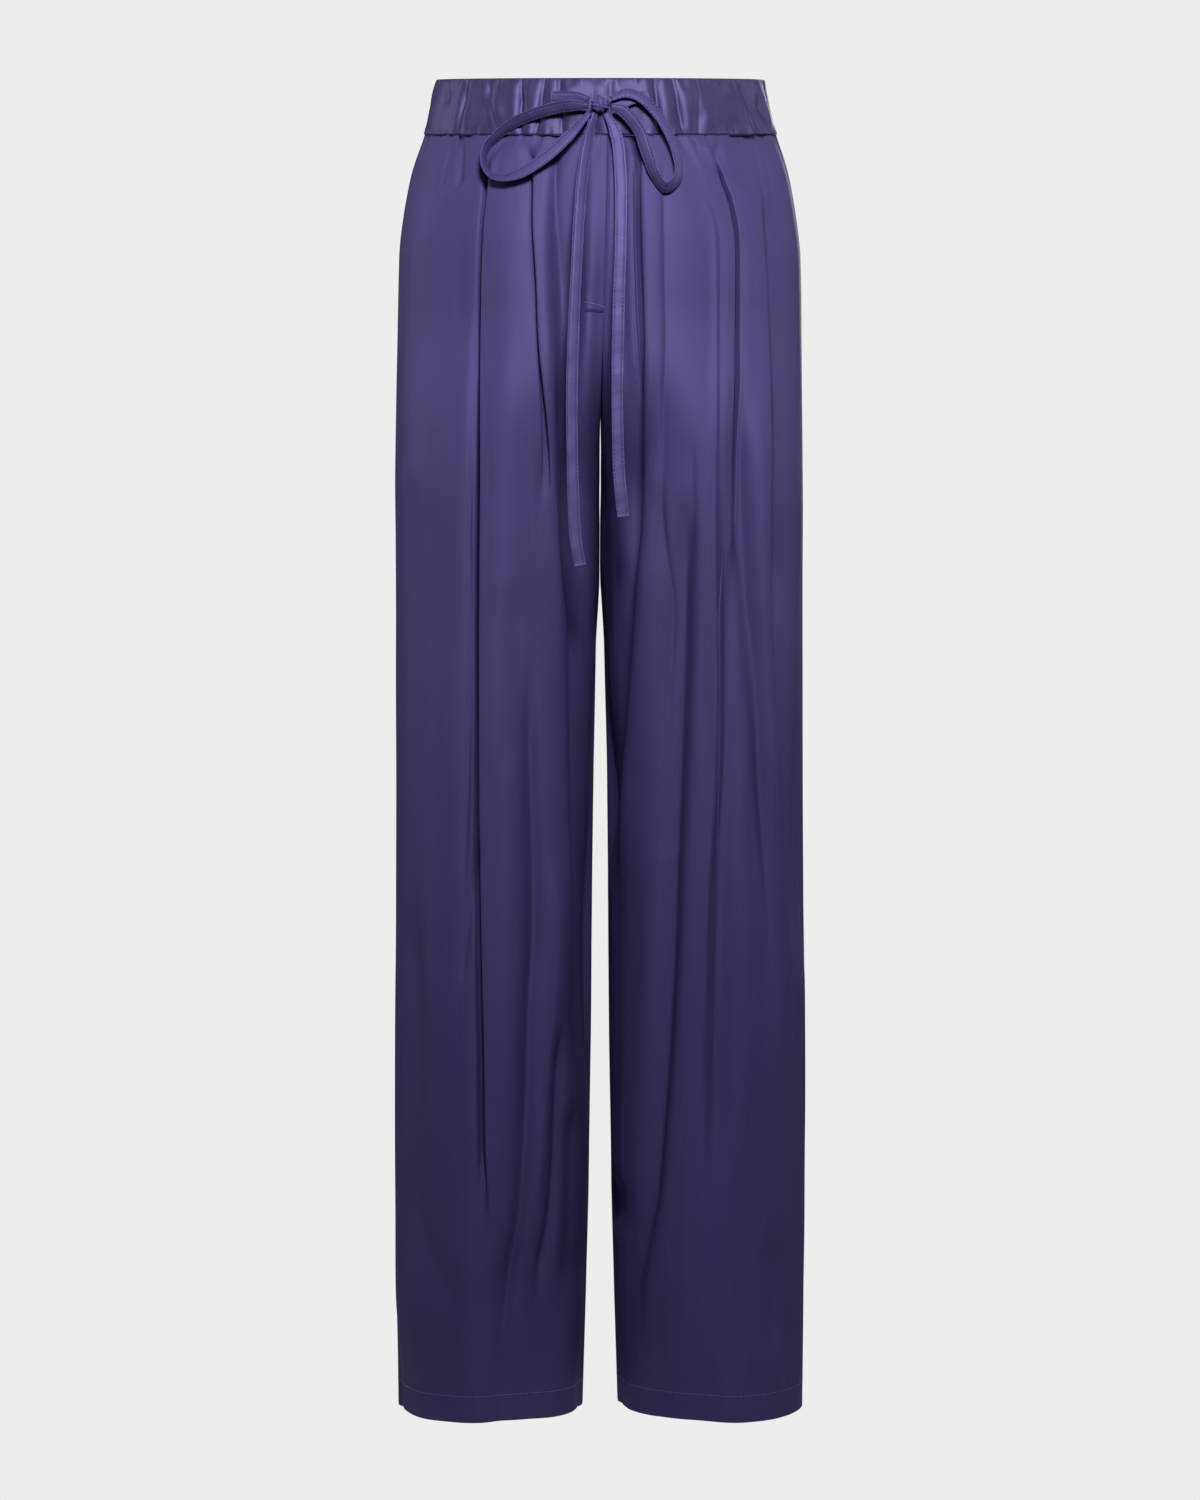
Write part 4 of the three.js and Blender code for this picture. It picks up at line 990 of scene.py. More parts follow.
SATIN = SatinFinish("satin_face", "satin", (0.092, 0.072, 0.226), (0.062, 0.048, 0.160))
SATIN_WRONG = SatinFinish(
    "satin_wrong_side", "satin", (0.060, 0.048, 0.150), (0.042, 0.034, 0.110), roughness=0.7, metallic=0.1)
# Painted shade: the waistband's satin is a darker copy of the same satin, standing in for the shade of its
# gathered folds.
BAND_SATIN_PAINTED_SHADE = SatinFinish(
    "band_satin_painted_shade", "band_satin", (0.074, 0.060, 0.176), (0.044, 0.036, 0.112), roughness=0.52)
RIBBON_SATIN = SatinFinish(
    "ribbon_satin_face", "ribbon_satin", (0.104, 0.083, 0.250), (0.072, 0.057, 0.184), roughness=0.6)


@dataclass(frozen=True)
class ThreadFinish:
    """Sewing thread, with the twist of its plies."""

    name: str
    slot: str
    colour: tuple

    def material(self) -> bpy.types.Material:
        """Return the thread as a material, built once."""
        known = bpy.data.materials.get(self.name)
        if known:
            return known
        made = bpy.data.materials.new(self.name)
        made.use_nodes = True
        build = NodeKit(made.node_tree)
        shader = made.node_tree.nodes["Principled BSDF"]
        where = build.node("ShaderNodeTexCoord")
        twist = build.noise(where.outputs["Object"], 2600.0, 1.0, 0.5)
        blend = build.node("ShaderNodeMix", data_type="RGBA")
        build.link(twist, blend.inputs[0])
        blend.inputs[6].default_value = (*[0.7 * c for c in self.colour], 1)
        blend.inputs[7].default_value = (*self.colour, 1)
        build.link(blend.outputs[2], shader.inputs["Base Color"])
        bump = build.node("ShaderNodeBump")
        bump.inputs["Distance"].default_value = 0.00005
        build.link(twist, bump.inputs["Height"])
        build.link(bump.outputs["Normal"], shader.inputs["Normal"])
        shader.inputs["Roughness"].default_value = 0.45
        return made


HEM_THREAD = ThreadFinish("hem_thread", "satin", (0.34, 0.32, 0.58))
BAND_THREAD = ThreadFinish("band_thread", "band_satin", (0.17, 0.14, 0.36))
RIBBON_THREAD = ThreadFinish("ribbon_thread", "ribbon_satin", (0.035, 0.028, 0.095))


# Stitches


@dataclass(frozen=True)
class Stitching:
    """A run of stitches along a path on the cloth, made by one Geometry Nodes tree."""

    name: str
    pitch: float
    length: float
    thread: float
    finish: ThreadFinish
    seed: int = 1

    @staticmethod
    def tree() -> bpy.types.NodeTree:
        """Return the tree that sets one rounded stitch after another on a path, built once."""
        known = bpy.data.node_groups.get("stitch_run")
        if known:
            return known
        tree = bpy.data.node_groups.new("stitch_run", "GeometryNodeTree")
        face = tree.interface
        face.new_socket("Path", in_out="INPUT", socket_type="NodeSocketGeometry")
        for name in ("Pitch", "Stitch length", "Thread"):
            face.new_socket(name, in_out="INPUT", socket_type="NodeSocketFloat")
        face.new_socket("Seed", in_out="INPUT", socket_type="NodeSocketInt")
        face.new_socket("Thread finish", in_out="INPUT", socket_type="NodeSocketMaterial")
        face.new_socket("Stitches", in_out="OUTPUT", socket_type="NodeSocketGeometry")
        build = NodeKit(tree)
        into = build.node("NodeGroupInput")
        out = build.node("NodeGroupOutput")
        curve = build.node("GeometryNodeMeshToCurve")
        build.link(into.outputs["Path"], curve.inputs[0])
        even = build.node("GeometryNodeResampleCurve", mode="LENGTH")
        build.link(curve.outputs[0], even.inputs["Curve"])
        build.link(into.outputs["Pitch"], even.inputs["Length"])
        grain = build.node("GeometryNodeMeshUVSphere")
        grain.inputs["Segments"].default_value = 6
        grain.inputs["Rings"].default_value = 5
        grain.inputs["Radius"].default_value = 0.5
        size = build.node("ShaderNodeCombineXYZ")
        build.link(into.outputs["Stitch length"], size.inputs["X"])
        build.link(into.outputs["Thread"], size.inputs["Y"])
        build.link(into.outputs["Thread"], size.inputs["Z"])
        shaped = build.node("GeometryNodeTransform")
        build.link(grain.outputs["Mesh"], shaped.inputs["Geometry"])
        build.link(size.outputs[0], shaped.inputs["Scale"])
        along = build.node("GeometryNodeInputTangent")
        line_up = build.node("FunctionNodeAlignRotationToVector", axis="X")
        build.link(along.outputs[0], line_up.inputs["Vector"])
        facing = build.node("GeometryNodeInputNamedAttribute", data_type="FLOAT_VECTOR")
        facing.inputs["Name"].default_value = "face_out"
        stand = build.node("FunctionNodeAlignRotationToVector", axis="Z", pivot_axis="X")
        build.link(line_up.outputs[0], stand.inputs["Rotation"])
        build.link(facing.outputs[0], stand.inputs["Vector"])
        turn = build.node("FunctionNodeRandomValue", data_type="FLOAT_VECTOR")
        turn.inputs[0].default_value = (-0.04, -0.05, -0.09)
        turn.inputs[1].default_value = (0.04, 0.05, 0.09)
        build.link(into.outputs["Seed"], turn.inputs["Seed"])
        jitter = build.node("FunctionNodeRotateRotation", rotation_space="LOCAL")
        build.link(stand.outputs[0], jitter.inputs[0])
        build.link(turn.outputs[0], jitter.inputs[1])
        place = build.node("GeometryNodeInstanceOnPoints")
        build.link(even.outputs[0], place.inputs["Points"])
        build.link(shaped.outputs[0], place.inputs["Instance"])
        build.link(jitter.outputs[0], place.inputs["Rotation"])
        real = build.node("GeometryNodeRealizeInstances")
        build.link(place.outputs[0], real.inputs[0])
        shade = build.node("GeometryNodeSetShadeSmooth")
        build.link(real.outputs[0], shade.inputs[0])
        dress = build.node("GeometryNodeSetMaterial")
        build.link(shade.outputs[0], dress.inputs["Geometry"])
        build.link(into.outputs["Thread finish"], dress.inputs["Material"])
        build.link(dress.outputs[0], out.inputs["Stitches"])
        return tree

    def sew(self, paths: list[tuple[np.ndarray, np.ndarray]]) -> bpy.types.Object:
        """Return the stitches along some paths as one plain mesh.

        Args:
            paths: for each path its points and the outward direction at each.

        Returns:
            The piece, riding on the body and dressed in its thread.
        """
        points = np.concatenate([path for path, _ in paths])
        facing = np.concatenate([out for _, out in paths])
        edges, start = [], 0
        for path, _ in paths:
            edges += [(start + i, start + i + 1) for i in range(len(path) - 1)]
            start += len(path)
        mesh = bpy.data.meshes.new(self.name)
        mesh.from_pydata(points.tolist(), edges, [])
        out = mesh.attributes.new("face_out", "FLOAT_VECTOR", "POINT")
        out.data.foreach_set("vector", facing.astype(np.float32).ravel())
        piece = add_object(self.name, mesh)
        sewing = piece.modifiers.new("stitches", "NODES")
        sewing.node_group = self.tree()
        wanted = {
            "Pitch": self.pitch,
            "Stitch length": self.length,
            "Thread": self.thread,
            "Seed": self.seed,
            "Thread finish": self.finish.material(),
        }
        for item in sewing.node_group.interface.items_tree:
            if item.name in wanted:
                sewing[item.identifier] = wanted[item.name]
        graph = bpy.context.evaluated_depsgraph_get()
        made = bpy.data.meshes.new_from_object(piece.evaluated_get(graph))
        piece.modifiers.remove(sewing)
        made.name = self.name
        piece.data = made
        if not made.materials:
            made.materials.append(self.finish.material())
        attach(piece, BODY)
        return piece


# The cloth of the legs and body


@dataclass(frozen=True)
class RowBand:
    """A stretch of a panel between two heights, and how many rows of points it has."""

    top: float
    bottom: float
    rows: int


@dataclass
class Panel:
    """One of the four panels: a front or back of one leg, from the waistband to its hem."""

    name: str
    side: Side
    face: Face
    pleats: tuple
    fills: tuple
    folds: tuple
    seed: int
    hem: float
    cut: tuple
    hem_depth: float = 0.020
    sheet: float = 0.0005
    turned: float = 0.0009
    groove: float = 0.0008
    groove_width: float = 0.0014
    pleat_relief: float = 1.25
    fold_relief: float = 1.4
    fold_margin: float = 0.012
    gather_margin: float = 0.006
    ripple_margin: float = 0.010
    least_ripple: float = 0.35
    cleft: float = 0.013
    cleft_width: float = 0.010
    cleft_top: float = -0.030
    cleft_deepest: float = -0.270
    cleft_end: float = -0.350
    gathers: Gathers = Gathers(0.0011, 0.020, 0.070, 0.0052, 0.0013)
    ripples: Ripples = Ripples()
    levels: np.ndarray = field(init=False)
    grid: np.ndarray = field(init=False)
    outwards: np.ndarray = field(init=False)
    places: np.ndarray = field(init=False)

    def top(self) -> float:
        """Return the height of the panel's top edge at the side seam."""
        return FIGURE.band_bottom - FIGURE.seam_gap

    def row_heights(self) -> np.ndarray:
        """Return the heights of the rows down to the hem's edge, closest under the waistband."""
        stitched = self.hem + self.hem_depth
        bands = (
            RowBand(self.top(), -0.060, 19),
            RowBand(-0.060, -0.200, 35),
            RowBand(-0.200, -0.500, 45),
            RowBand(-0.500, stitched + 0.004, 57),
        )
        parts = [np.linspace(band.top, band.bottom, band.rows, endpoint=False) for band in bands]
        parts.append(np.array([stitched + 0.004]))
        parts.append(np.linspace(stitched + 0.002, self.hem + 0.001, 9))
        parts.append(np.array([self.hem]))
        return np.concatenate(parts)

    def row(self, level: float) -> tuple[np.ndarray, ...]:
        """Return one row of the panel's middle surface.

        Args:
            level: the row's height at the side seam.

        Returns:
            x, y, z and the places along the bare section.
        """
        line = SectionLine(self.side, self.face, level)
        blocks = [(np.zeros(1), np.zeros(1), 0.0)]
        for pleat in self.pleats:
            z, start = level, 0.0
            for _ in range(2):
                start = line.distance_of(float(curve_through(pleat.path, "x", z)))
                z = level + float(FIGURE.tilt(line.at(np.array([start]))[1][0], level))
            drop = self.pleat_relief * float(straight_through(pleat.path, "drop", z))
            fold = float(straight_through(pleat.path, "fold", z))
            across, heights, spread = pleat.section(drop, fold)
            blocks.append((start + across, heights, spread))
        blocks.append((np.array([line.total]), np.zeros(1), 0.0))
        places, heights, calm = list(blocks[0][0]), list(blocks[0][1]), [1.0]
        for fill, (across, lift, spread) in zip(self.fills, blocks[1:]):
            share = np.arange(1, fill + 1) / (fill + 1)
            places += list(mix(places[-1], across[0], share)) + list(across)
            heights += list(mix(heights[-1], lift[0], smooth(share))) + list(lift)
            calm += list(mix(calm[-1], 1 - spread, smooth(share))) + [1 - spread] * len(across)
        place, height, calm = np.array(places), np.array(heights), np.array(calm)
        x, y, nx, ny = line.at(place)
        z = level + FIGURE.tilt(y, level)
        from_edge = np.minimum(place, line.total - place)
        inner = smooth(from_edge / self.fold_margin)
        away = height + self.fold_relief * inner * sum(fold.height_at(x, z) for fold in self.folds)
        tucks = self.gathers.heights(place, self.top() - level, self.seed)
        away += smooth(from_edge / self.gather_margin) * calm * tucks
        waves = self.ripples.heights(place, z, self.seed + 1)
        away += smooth(from_edge / self.ripple_margin) * mix(self.least_ripple, 1, calm) * waves
        away -= self.groove * np.exp(-((from_edge / self.groove_width) ** 2))
        hollow = self.cleft_at(level) * np.exp(-(((line.total - place) / self.cleft_width) ** 2))
        x, y = x + nx * away, y + ny * away - self.face.value * hollow
        limit = FIGURE.centre_seam(z, self.face) + self.side.value * FIGURE.seam_gap / 2
        x = np.where(self.side.value * x < self.side.value * limit, limit, x)
        return x, y, z, place

    def shape(self) -> None:
        """Work out the panel's middle surface and its outward directions."""
        self.levels = self.row_heights()
        rows = [self.row(level) for level in self.levels]
        self.grid = np.stack([np.stack(row[:3], axis=1) for row in rows])
        self.places = np.stack([row[3] for row in rows])
        self.outwards = outward(self.grid, self.flipped())

    def flipped(self) -> bool:
        """Return whether the grid's own normals point inwards."""
        return self.side.value * self.face.value < 0

    def cleft_at(self, level: float) -> float:
        """Return how deep the hollow along the centre seam is at a height, deepest at the fork."""
        down = smooth((self.cleft_top - level) / (self.cleft_top - self.cleft_deepest))
        up = smooth((level - self.cleft_end) / (self.cleft_deepest - self.cleft_end))
        return self.cleft * float(down * up)

    def with_hem(self) -> np.ndarray:
        """Return the grid with the hem's turning, which runs round its edge and up inside."""
        stitched = self.hem + self.hem_depth
        inside = np.flatnonzero(self.levels <= stitched + 0.0005)[::-1]
        turning = self.grid[inside] - self.outwards[inside] * self.turned
        turning[0, :, 2] = self.grid[-1, :, 2] + 0.0001
        edge = self.grid[-1] - self.outwards[-1] * self.turned / 2
        edge[:, 2] -= self.turned / 2
        return np.concatenate([self.grid, edge[None], turning])

    def build(self) -> bpy.types.Object:
        """Return the panel as a thin sheet with its turned hem."""
        self.shape()
        grid = self.with_hem()
        rows, cols = grid.shape[:2]
        along = np.zeros((rows, cols))
        along[:, 1:] = np.cumsum(np.hypot(np.diff(grid[:, :, 0]), np.diff(grid[:, :, 1])), axis=1)
        down = np.zeros(rows)
        down[1:] = np.cumsum(np.abs(np.diff(grid[:, cols // 2, 2])))
        uv = np.stack([along, np.repeat(-down[:, None], cols, axis=1)], axis=2)
        faces = grid_faces(rows, cols, self.flipped())
        return dress("cloth_" + self.name, self.name, grid, faces, uv, (SATIN, SATIN_WRONG), self.sheet)

    def line_at(self, level: float, lift: float) -> tuple[np.ndarray, np.ndarray]:
        """Return a path along the row nearest a height, lifted off the cloth, and its directions."""
        row = int(np.argmin(np.abs(self.levels - level)))
        shift = level - self.levels[row]
        points = self.grid[row] + self.outwards[row] * lift
        points[:, 2] += shift
        return points, self.outwards[row]


RIGHT_HEM = -1.037
LEFT_HEM = -1.034


@dataclass
class Legs:
    """The four panels, the mock fly that lies on the right front, and their sewing."""

    panels: dict = field(default_factory=dict)
    area_share: float = 0.86
    fly_bottom: float = -0.178
    fly_margin: float = 0.004
    fly_lift: float = 0.0013
    fly_sheet: float = 0.0003
    fly_off: float = 0.0006
    fly_off_low: float = 0.0002
    fly_hem_from: float = 0.80
    fly_stitch_from: tuple = (-0.0127, 0.0, -0.1722)
    fly_stitch_to: tuple = (0.0032, 0.0, -0.1752)
    fly_stitch_row: float = -0.1738
    fly_stitch_off: float = 0.0017
    hem_stitch: Stitching = Stitching("hem_stitches", 0.0027, 0.0021, 0.00032, HEM_THREAD, 3)
    fly_stitch: Stitching = Stitching("fly_stitches", 0.0020, 0.0017, 0.00036, HEM_THREAD, 5)

    def build(self) -> list[bpy.types.Object]:
        """Return every piece of the legs."""
        back_gathers = Gathers(0.0014, 0.035, 0.120, 0.0058, 0.0016)
        plans = [
            Panel("front_panel_right", Side.RIGHT, Face.FRONT, (MAIN_PLEAT, INNER_PLEAT, FLY_LINE),
                  (92, 18, 26, 34), FRONT_RIGHT_FOLDS, 3, RIGHT_HEM, (0.36, 1.06)),
            Panel("front_panel_left", Side.LEFT, Face.FRONT, (SLANTED_PLEAT, PRESSED_CREASE, STRIP_PLEAT),
                  (78, 2, 36, 44), FRONT_LEFT_FOLDS, 17, LEFT_HEM, (0.36, 1.06)),
            Panel("back_panel_right", Side.RIGHT, Face.BACK, (), (150,), BACK_RIGHT_FOLDS, 41, RIGHT_HEM,
                  (0.36, 1.08), gathers=back_gathers),
            Panel("back_panel_left", Side.LEFT, Face.BACK, (), (150,), BACK_LEFT_FOLDS, 67, LEFT_HEM,
                  (0.36, 1.08), gathers=back_gathers),
        ]
        pieces = []
        for panel in plans:
            piece = panel.build()
            self.panels[panel.name] = panel
            pieces.append(piece)
        pieces.append(self.mock_fly())
        pieces += self.sewing()
        return pieces

    def mock_fly(self) -> bpy.types.Object:
        """Return the flap along the centre front, its free edge turned and the rest laid flat."""
        panel = self.panels["front_panel_right"]
        first = panel.grid.shape[1] - panel.fills[-1] - 1
        rows = np.flatnonzero(panel.grid[:, first, 2] > self.fly_bottom - self.fly_margin)
        base = panel.grid[rows][:, first:]
        out = panel.outwards[rows][:, first:]
        across = np.linspace(0, 1, base.shape[1])
        down = np.linspace(0, 1, len(rows))[:, None]
        low = down - self.fly_hem_from
        lift = self.fly_lift * smooth(across / 0.35)[None, :] * mix(1, 0, smooth(low / 0.18))
        off = mix(self.fly_off, self.fly_off_low, smooth(low / 0.2))
        grid = base + out * (lift + off)[:, :, None]
        grid[:, :, 0] = np.minimum(grid[:, :, 0], base[:, -1:, 0])
        uv = np.stack([panel.places[rows][:, first:], base[:, :, 2]], axis=2)
        faces = grid_faces(len(rows), base.shape[1], panel.flipped())
        piece = dress("cloth_mock_fly", "fly_flap", grid, faces, uv, (SATIN, SATIN_WRONG), self.fly_sheet)
        return piece

    def sewing(self) -> list[bpy.types.Object]:
        """Return the stitches of the hems and of the mock fly."""
        hems = []
        for panel in self.panels.values():
            off = panel.sheet + self.hem_stitch.thread * 0.25
            hems.append(panel.line_at(panel.hem + panel.hem_depth, off))
        pieces = [self.hem_stitch.sew(hems)]
        panel = self.panels["front_panel_right"]
        share = np.linspace(0, 1, 12)[:, None]
        path = mix(np.array(self.fly_stitch_from), np.array(self.fly_stitch_to), share)
        row = int(np.argmin(np.abs(panel.grid[:, -12, 2] - self.fly_stitch_row)))
        cloth = panel.grid[row, -40:]
        cloth = cloth[np.argsort(cloth[:, 0])]
        path[:, 1] = np.interp(path[:, 0], cloth[:, 0], cloth[:, 1]) - self.fly_stitch_off
        pieces.append(self.fly_stitch.sew([(path, np.tile([0.0, -1.0, 0.0], (len(path), 1)))]))
        return pieces


# The waistband


@dataclass(frozen=True)
class BandFold:
    """A sharp fold of the waistband: its x at the top and at the bottom, and its depth."""

    top: float
    bottom: float
    depth: float


BAND_FOLDS_FRONT = (
    BandFold(-0.102, -0.111, 0.0040),
    BandFold(-0.086, -0.078, 0.0014),
    BandFold(-0.060, -0.061, 0.0036),
    BandFold(-0.042, -0.049, 0.0034),
    BandFold(-0.031, -0.029, 0.0026),
    BandFold(-0.006, -0.004, 0.0009),
    BandFold(0.008, 0.009, 0.0016),
    BandFold(0.041, 0.047, 0.0034),
    BandFold(0.056, 0.064, 0.0030),
    BandFold(0.074, 0.076, 0.0014),
    BandFold(0.106, 0.122, 0.0036),
)
BAND_FOLDS_BACK = (
    BandFold(-0.112, -0.119, 0.0018),
    BandFold(-0.091, -0.090, 0.0020),
    BandFold(-0.072, -0.077, 0.0015),
    BandFold(-0.055, -0.054, 0.0020),
    BandFold(-0.037, -0.041, 0.0017),
    BandFold(-0.019, -0.018, 0.0020),
    BandFold(-0.002, 0.001, 0.0016),
    BandFold(0.017, 0.019, 0.0020),
    BandFold(0.034, 0.032, 0.0016),
    BandFold(0.052, 0.056, 0.0020),
    BandFold(0.070, 0.071, 0.0015),
    BandFold(0.089, 0.094, 0.0020),
    BandFold(0.110, 0.114, 0.0017),
)


@dataclass
class Waistband:
    """The gathered casing: a closed ring of folded satin over elastic."""

    columns: int = 640
    outside_rows: int = 34
    inside_rows: int = 20
    edge_rows: int = 3
    wall: float = 0.0024
    belly: float = 0.0029
    belly_power: float = 0.7
    fold_width: float = 0.0017
    bulge: float = 0.22
    bulge_from: float = 0.0055
    bulge_width: float = 0.0032
    turned_top: float = 0.0009
    inside_belly: float = 0.0005
    inside_share: float = 0.3
    tucks: int = 150
    bumps: int = 150
    strip: tuple = (0.74, 0.092)
    stitch_height: float = 0.045
    stitch_off: float = 0.0012
    seam_stitch: Stitching = Stitching("waist_seam_stitches", 0.0024, 0.0018, 0.0003, BAND_THREAD, 7)

    @staticmethod
    def radius() -> float:
        """Return the mean radius of the waist."""
        return float(FIGURE.side(0.0)) * 0.88

    @staticmethod
    def turned(angle: np.ndarray) -> np.ndarray:
        """Return angles brought to within half a turn of zero."""
        return (angle + math.pi) % (2 * math.pi) - math.pi

    def angle_of(self, x: float, z: float, face: Face) -> float:
        """Return the angle round the waist, from the right side seam over the front, of a place x."""
        angle = math.acos(min(1.0, max(-1.0, -x / float(FIGURE.side(z)))))
        return angle if face is Face.FRONT else 2 * math.pi - angle

    def dents(self, angle: np.ndarray, up: float) -> np.ndarray:
        """Return how far the folds press the band in, at angles round it and a share of its height."""
        total = np.zeros_like(angle)
        for face, folds in ((Face.FRONT, BAND_FOLDS_FRONT), (Face.BACK, BAND_FOLDS_BACK)):
            for fold in folds:
                low = self.angle_of(fold.bottom, FIGURE.band_bottom, face)
                high = self.angle_of(fold.top, FIGURE.band_top, face)
                far = np.abs(self.turned(angle - mix(low, high, up))) * self.radius()
                crease = np.exp(-far / self.fold_width)
                bulge = self.bulge * np.exp(-(((far - self.bulge_from) / self.bulge_width) ** 2))
                total += fold.depth * (crease - bulge)
        return total

    def crumples(self, angle: np.ndarray, up: float) -> np.ndarray:
        """Return the small tucks along both edges and the soft hollows between them."""
        draw = np.random.default_rng(23)
        total = np.zeros_like(angle)
        number = self.tucks
        for edge in (0.0, 1.0):
            centres = (np.arange(number) + draw.uniform(-0.4, 0.4, number)) * 2 * math.pi / number
            reach = draw.uniform(0.06, 0.24, number)
            tall = draw.uniform(0.0004, 0.0012, number) * np.where(draw.random(number) < 0.6, 1, -1)
            wide = draw.uniform(0.0008, 0.0019, number)
            lean = draw.uniform(-0.02, 0.02, number)
            below = abs(up - edge)
            away = self.turned(angle[:, None] - centres - lean * below) * self.radius()
            strength = tall * np.clip(1 - below / reach, 0, 1)
            total += (strength * np.exp(-((away / wide) ** 2) / 2)).sum(axis=1)
        number = self.bumps
        centres = draw.uniform(0, 2 * math.pi, number)
        level = draw.uniform(0.12, 0.88, number)
        tall = draw.uniform(-0.0019, 0.0014, number)
        wide = draw.uniform(0.0026, 0.0085, number)
        high = draw.uniform(0.10, 0.24, number)
        lean = draw.uniform(-0.16, 0.16, number)
        away = self.turned(angle[:, None] - centres - lean * (up - level)) * self.radius()
        bump = np.exp(-((away / wide) ** 2) / 2) * np.exp(-(((up - level) / high) ** 2) / 2)
        return total + (tall * bump).sum(axis=1)

    def ring(self, up: float, out: float, outside: float) -> np.ndarray:
        """Return one row of points round the band.

        Args:
            up: share of the band's height, from its seam.
            out: distance from the middle of its wall.
            outside: 1 on the outer face, less on the inner one, which shows the folds less.

        Returns:
            An array of points.
        """
        z = mix(FIGURE.band_bottom, FIGURE.band_top, up)
        angle = np.linspace(0, 2 * math.pi, self.columns, endpoint=False)
        side = float(FIGURE.side(z))
        front, back = float(FIGURE.depth(Face.FRONT, z)), float(FIGURE.depth(Face.BACK, z))
        depth = np.where(np.sin(angle) > 0, front, back)
        x, y = -side * np.cos(angle), -depth * np.sin(angle)
        nx, ny = x / side**2, y / depth**2
        size = np.hypot(nx, ny)
        ease = 0.45 + 0.55 * math.sin(math.pi * min(0.9, max(0.1, up)))
        away = out - outside * ease * self.dents(angle, up) + outside * self.crumples(angle, up)
        x, y = x + nx / size * away, y + ny / size * away
        return np.stack([x, y, z + FIGURE.tilt(y, z)], axis=1)

    def build(self) -> list[bpy.types.Object]:
        """Return the band and the stitches of its seam."""
        half = self.wall / 2
        rows = []
        for up in np.linspace(0, 1, self.outside_rows):
            swell = half + (self.belly - half) * math.sin(math.pi * up) ** self.belly_power
            rows.append(self.ring(up, swell, 1.0))
        for turn in np.linspace(0, 1, self.edge_rows + 2)[1:-1]:
            row = self.ring(1.0, half * math.cos(turn * math.pi), mix(1.0, self.inside_share, turn))
            row[:, 2] += self.turned_top * math.sin(turn * math.pi)
            rows.append(row)
        for up in np.linspace(1, 0, self.inside_rows):
            rows.append(self.ring(up, -half - self.inside_belly * math.sin(math.pi * up), self.inside_share))
        grid = np.stack(rows)
        count = len(rows)
        faces = grid_faces(count, self.columns, True, around=True)
        last = (count - 1) * self.columns
        for c in range(self.columns):
            after = (c + 1) % self.columns
            faces.append([last + after, after, c, last + c])
        around = np.repeat(np.linspace(0, self.strip[0], self.columns)[None, :], count, axis=0)
        down = np.repeat(np.linspace(0, self.strip[1], count)[:, None], self.columns, axis=1)
        uv = np.stack([around, down], axis=2)
        # The band takes the darker satin, painted shade of its folds.
        piece = dress("cloth_waistband", "waistband", grid, faces, uv, (BAND_SATIN_PAINTED_SHADE,))
        low = self.ring(self.stitch_height, half + self.stitch_off, 1.0)
        closed = np.concatenate([low, low[:1]])
        flat = closed * np.array([1.0, 1.0, 0.0])
        facing = flat / np.linalg.norm(flat, axis=1, keepdims=True)
        stitches = self.seam_stitch.sew([(closed, facing)])
        return [piece, stitches]


# The drawstring


@dataclass(frozen=True)
class RoutePoint:
    """A point of a ribbon: its place on the front, its stand-off, its turn and its share of full width."""

    x: float
    z: float
    off: float = 0.0
    turn: float = 0.0
    wide: float = 1.0


@dataclass(frozen=True)
class KnotPlace:
    """Where the knot is and how large."""

    x: float = 0.0
    z: float = -0.019
    off: float = 0.0086
    radius: float = 0.008
    depth: float = 0.0046
    height: float = 0.0065
    cloth: float = 0.006


KNOT = KnotPlace()
TAIL_HANG = 0.007
RIGHT_TAIL = (
    RoutePoint(-0.0042, -0.0254, 0, 30, 0.55),
    RoutePoint(-0.0090, -0.0450, 0, 30),
    RoutePoint(-0.0130, -0.0720, 0, 28),
    RoutePoint(-0.0155, -0.1020, 0, 25),
    RoutePoint(-0.0176, -0.1400, 0, 22),
    RoutePoint(-0.0200, -0.1930, 0, 20),
    RoutePoint(-0.0214, -0.2470, 0, 16),
    RoutePoint(-0.0206, -0.3080, 0, 12),
    RoutePoint(-0.0185, -0.3540, 0, 14),
    RoutePoint(-0.0150, -0.3740, 0, 18),
)
LEFT_TAIL = (
    RoutePoint(0.0046, -0.0253, 0, 14, 0.55),
    RoutePoint(0.0120, -0.0410, 0, 8),
    RoutePoint(0.0156, -0.0710, 0, 5),
    RoutePoint(0.0158, -0.1250, 0, 4),
    RoutePoint(0.0144, -0.1710, 0, 6),
    RoutePoint(0.0132, -0.2470, 0, 9),
    RoutePoint(0.0148, -0.3080, 0, 12),
    RoutePoint(0.0178, -0.3370, 0, 14),
)
RIGHT_LOOP = (
    RoutePoint(-0.0088, -0.0205, 0.0090, 30, 0.5),
    RoutePoint(-0.0220, -0.0200, 0.0100, 35),
    RoutePoint(-0.0420, -0.0230, 0.0090, 35),
    RoutePoint(-0.0620, -0.0290, 0.0080, 40),
    RoutePoint(-0.0790, -0.0390, 0.0075, 50),
    RoutePoint(-0.0885, -0.0500, 0.0075, 60),
    RoutePoint(-0.0900, -0.0610, 0.0080, 64),
    RoutePoint(-0.0855, -0.0705, 0.0080, 64),
    RoutePoint(-0.0750, -0.0750, 0.0080, 54),
    RoutePoint(-0.0610, -0.0720, 0.0080, 32),
    RoutePoint(-0.0430, -0.0610, 0.0085, 20),
    RoutePoint(-0.0250, -0.0450, 0.0100, 20),
    RoutePoint(-0.0076, -0.0260, 0.0110, 25, 0.5),
)
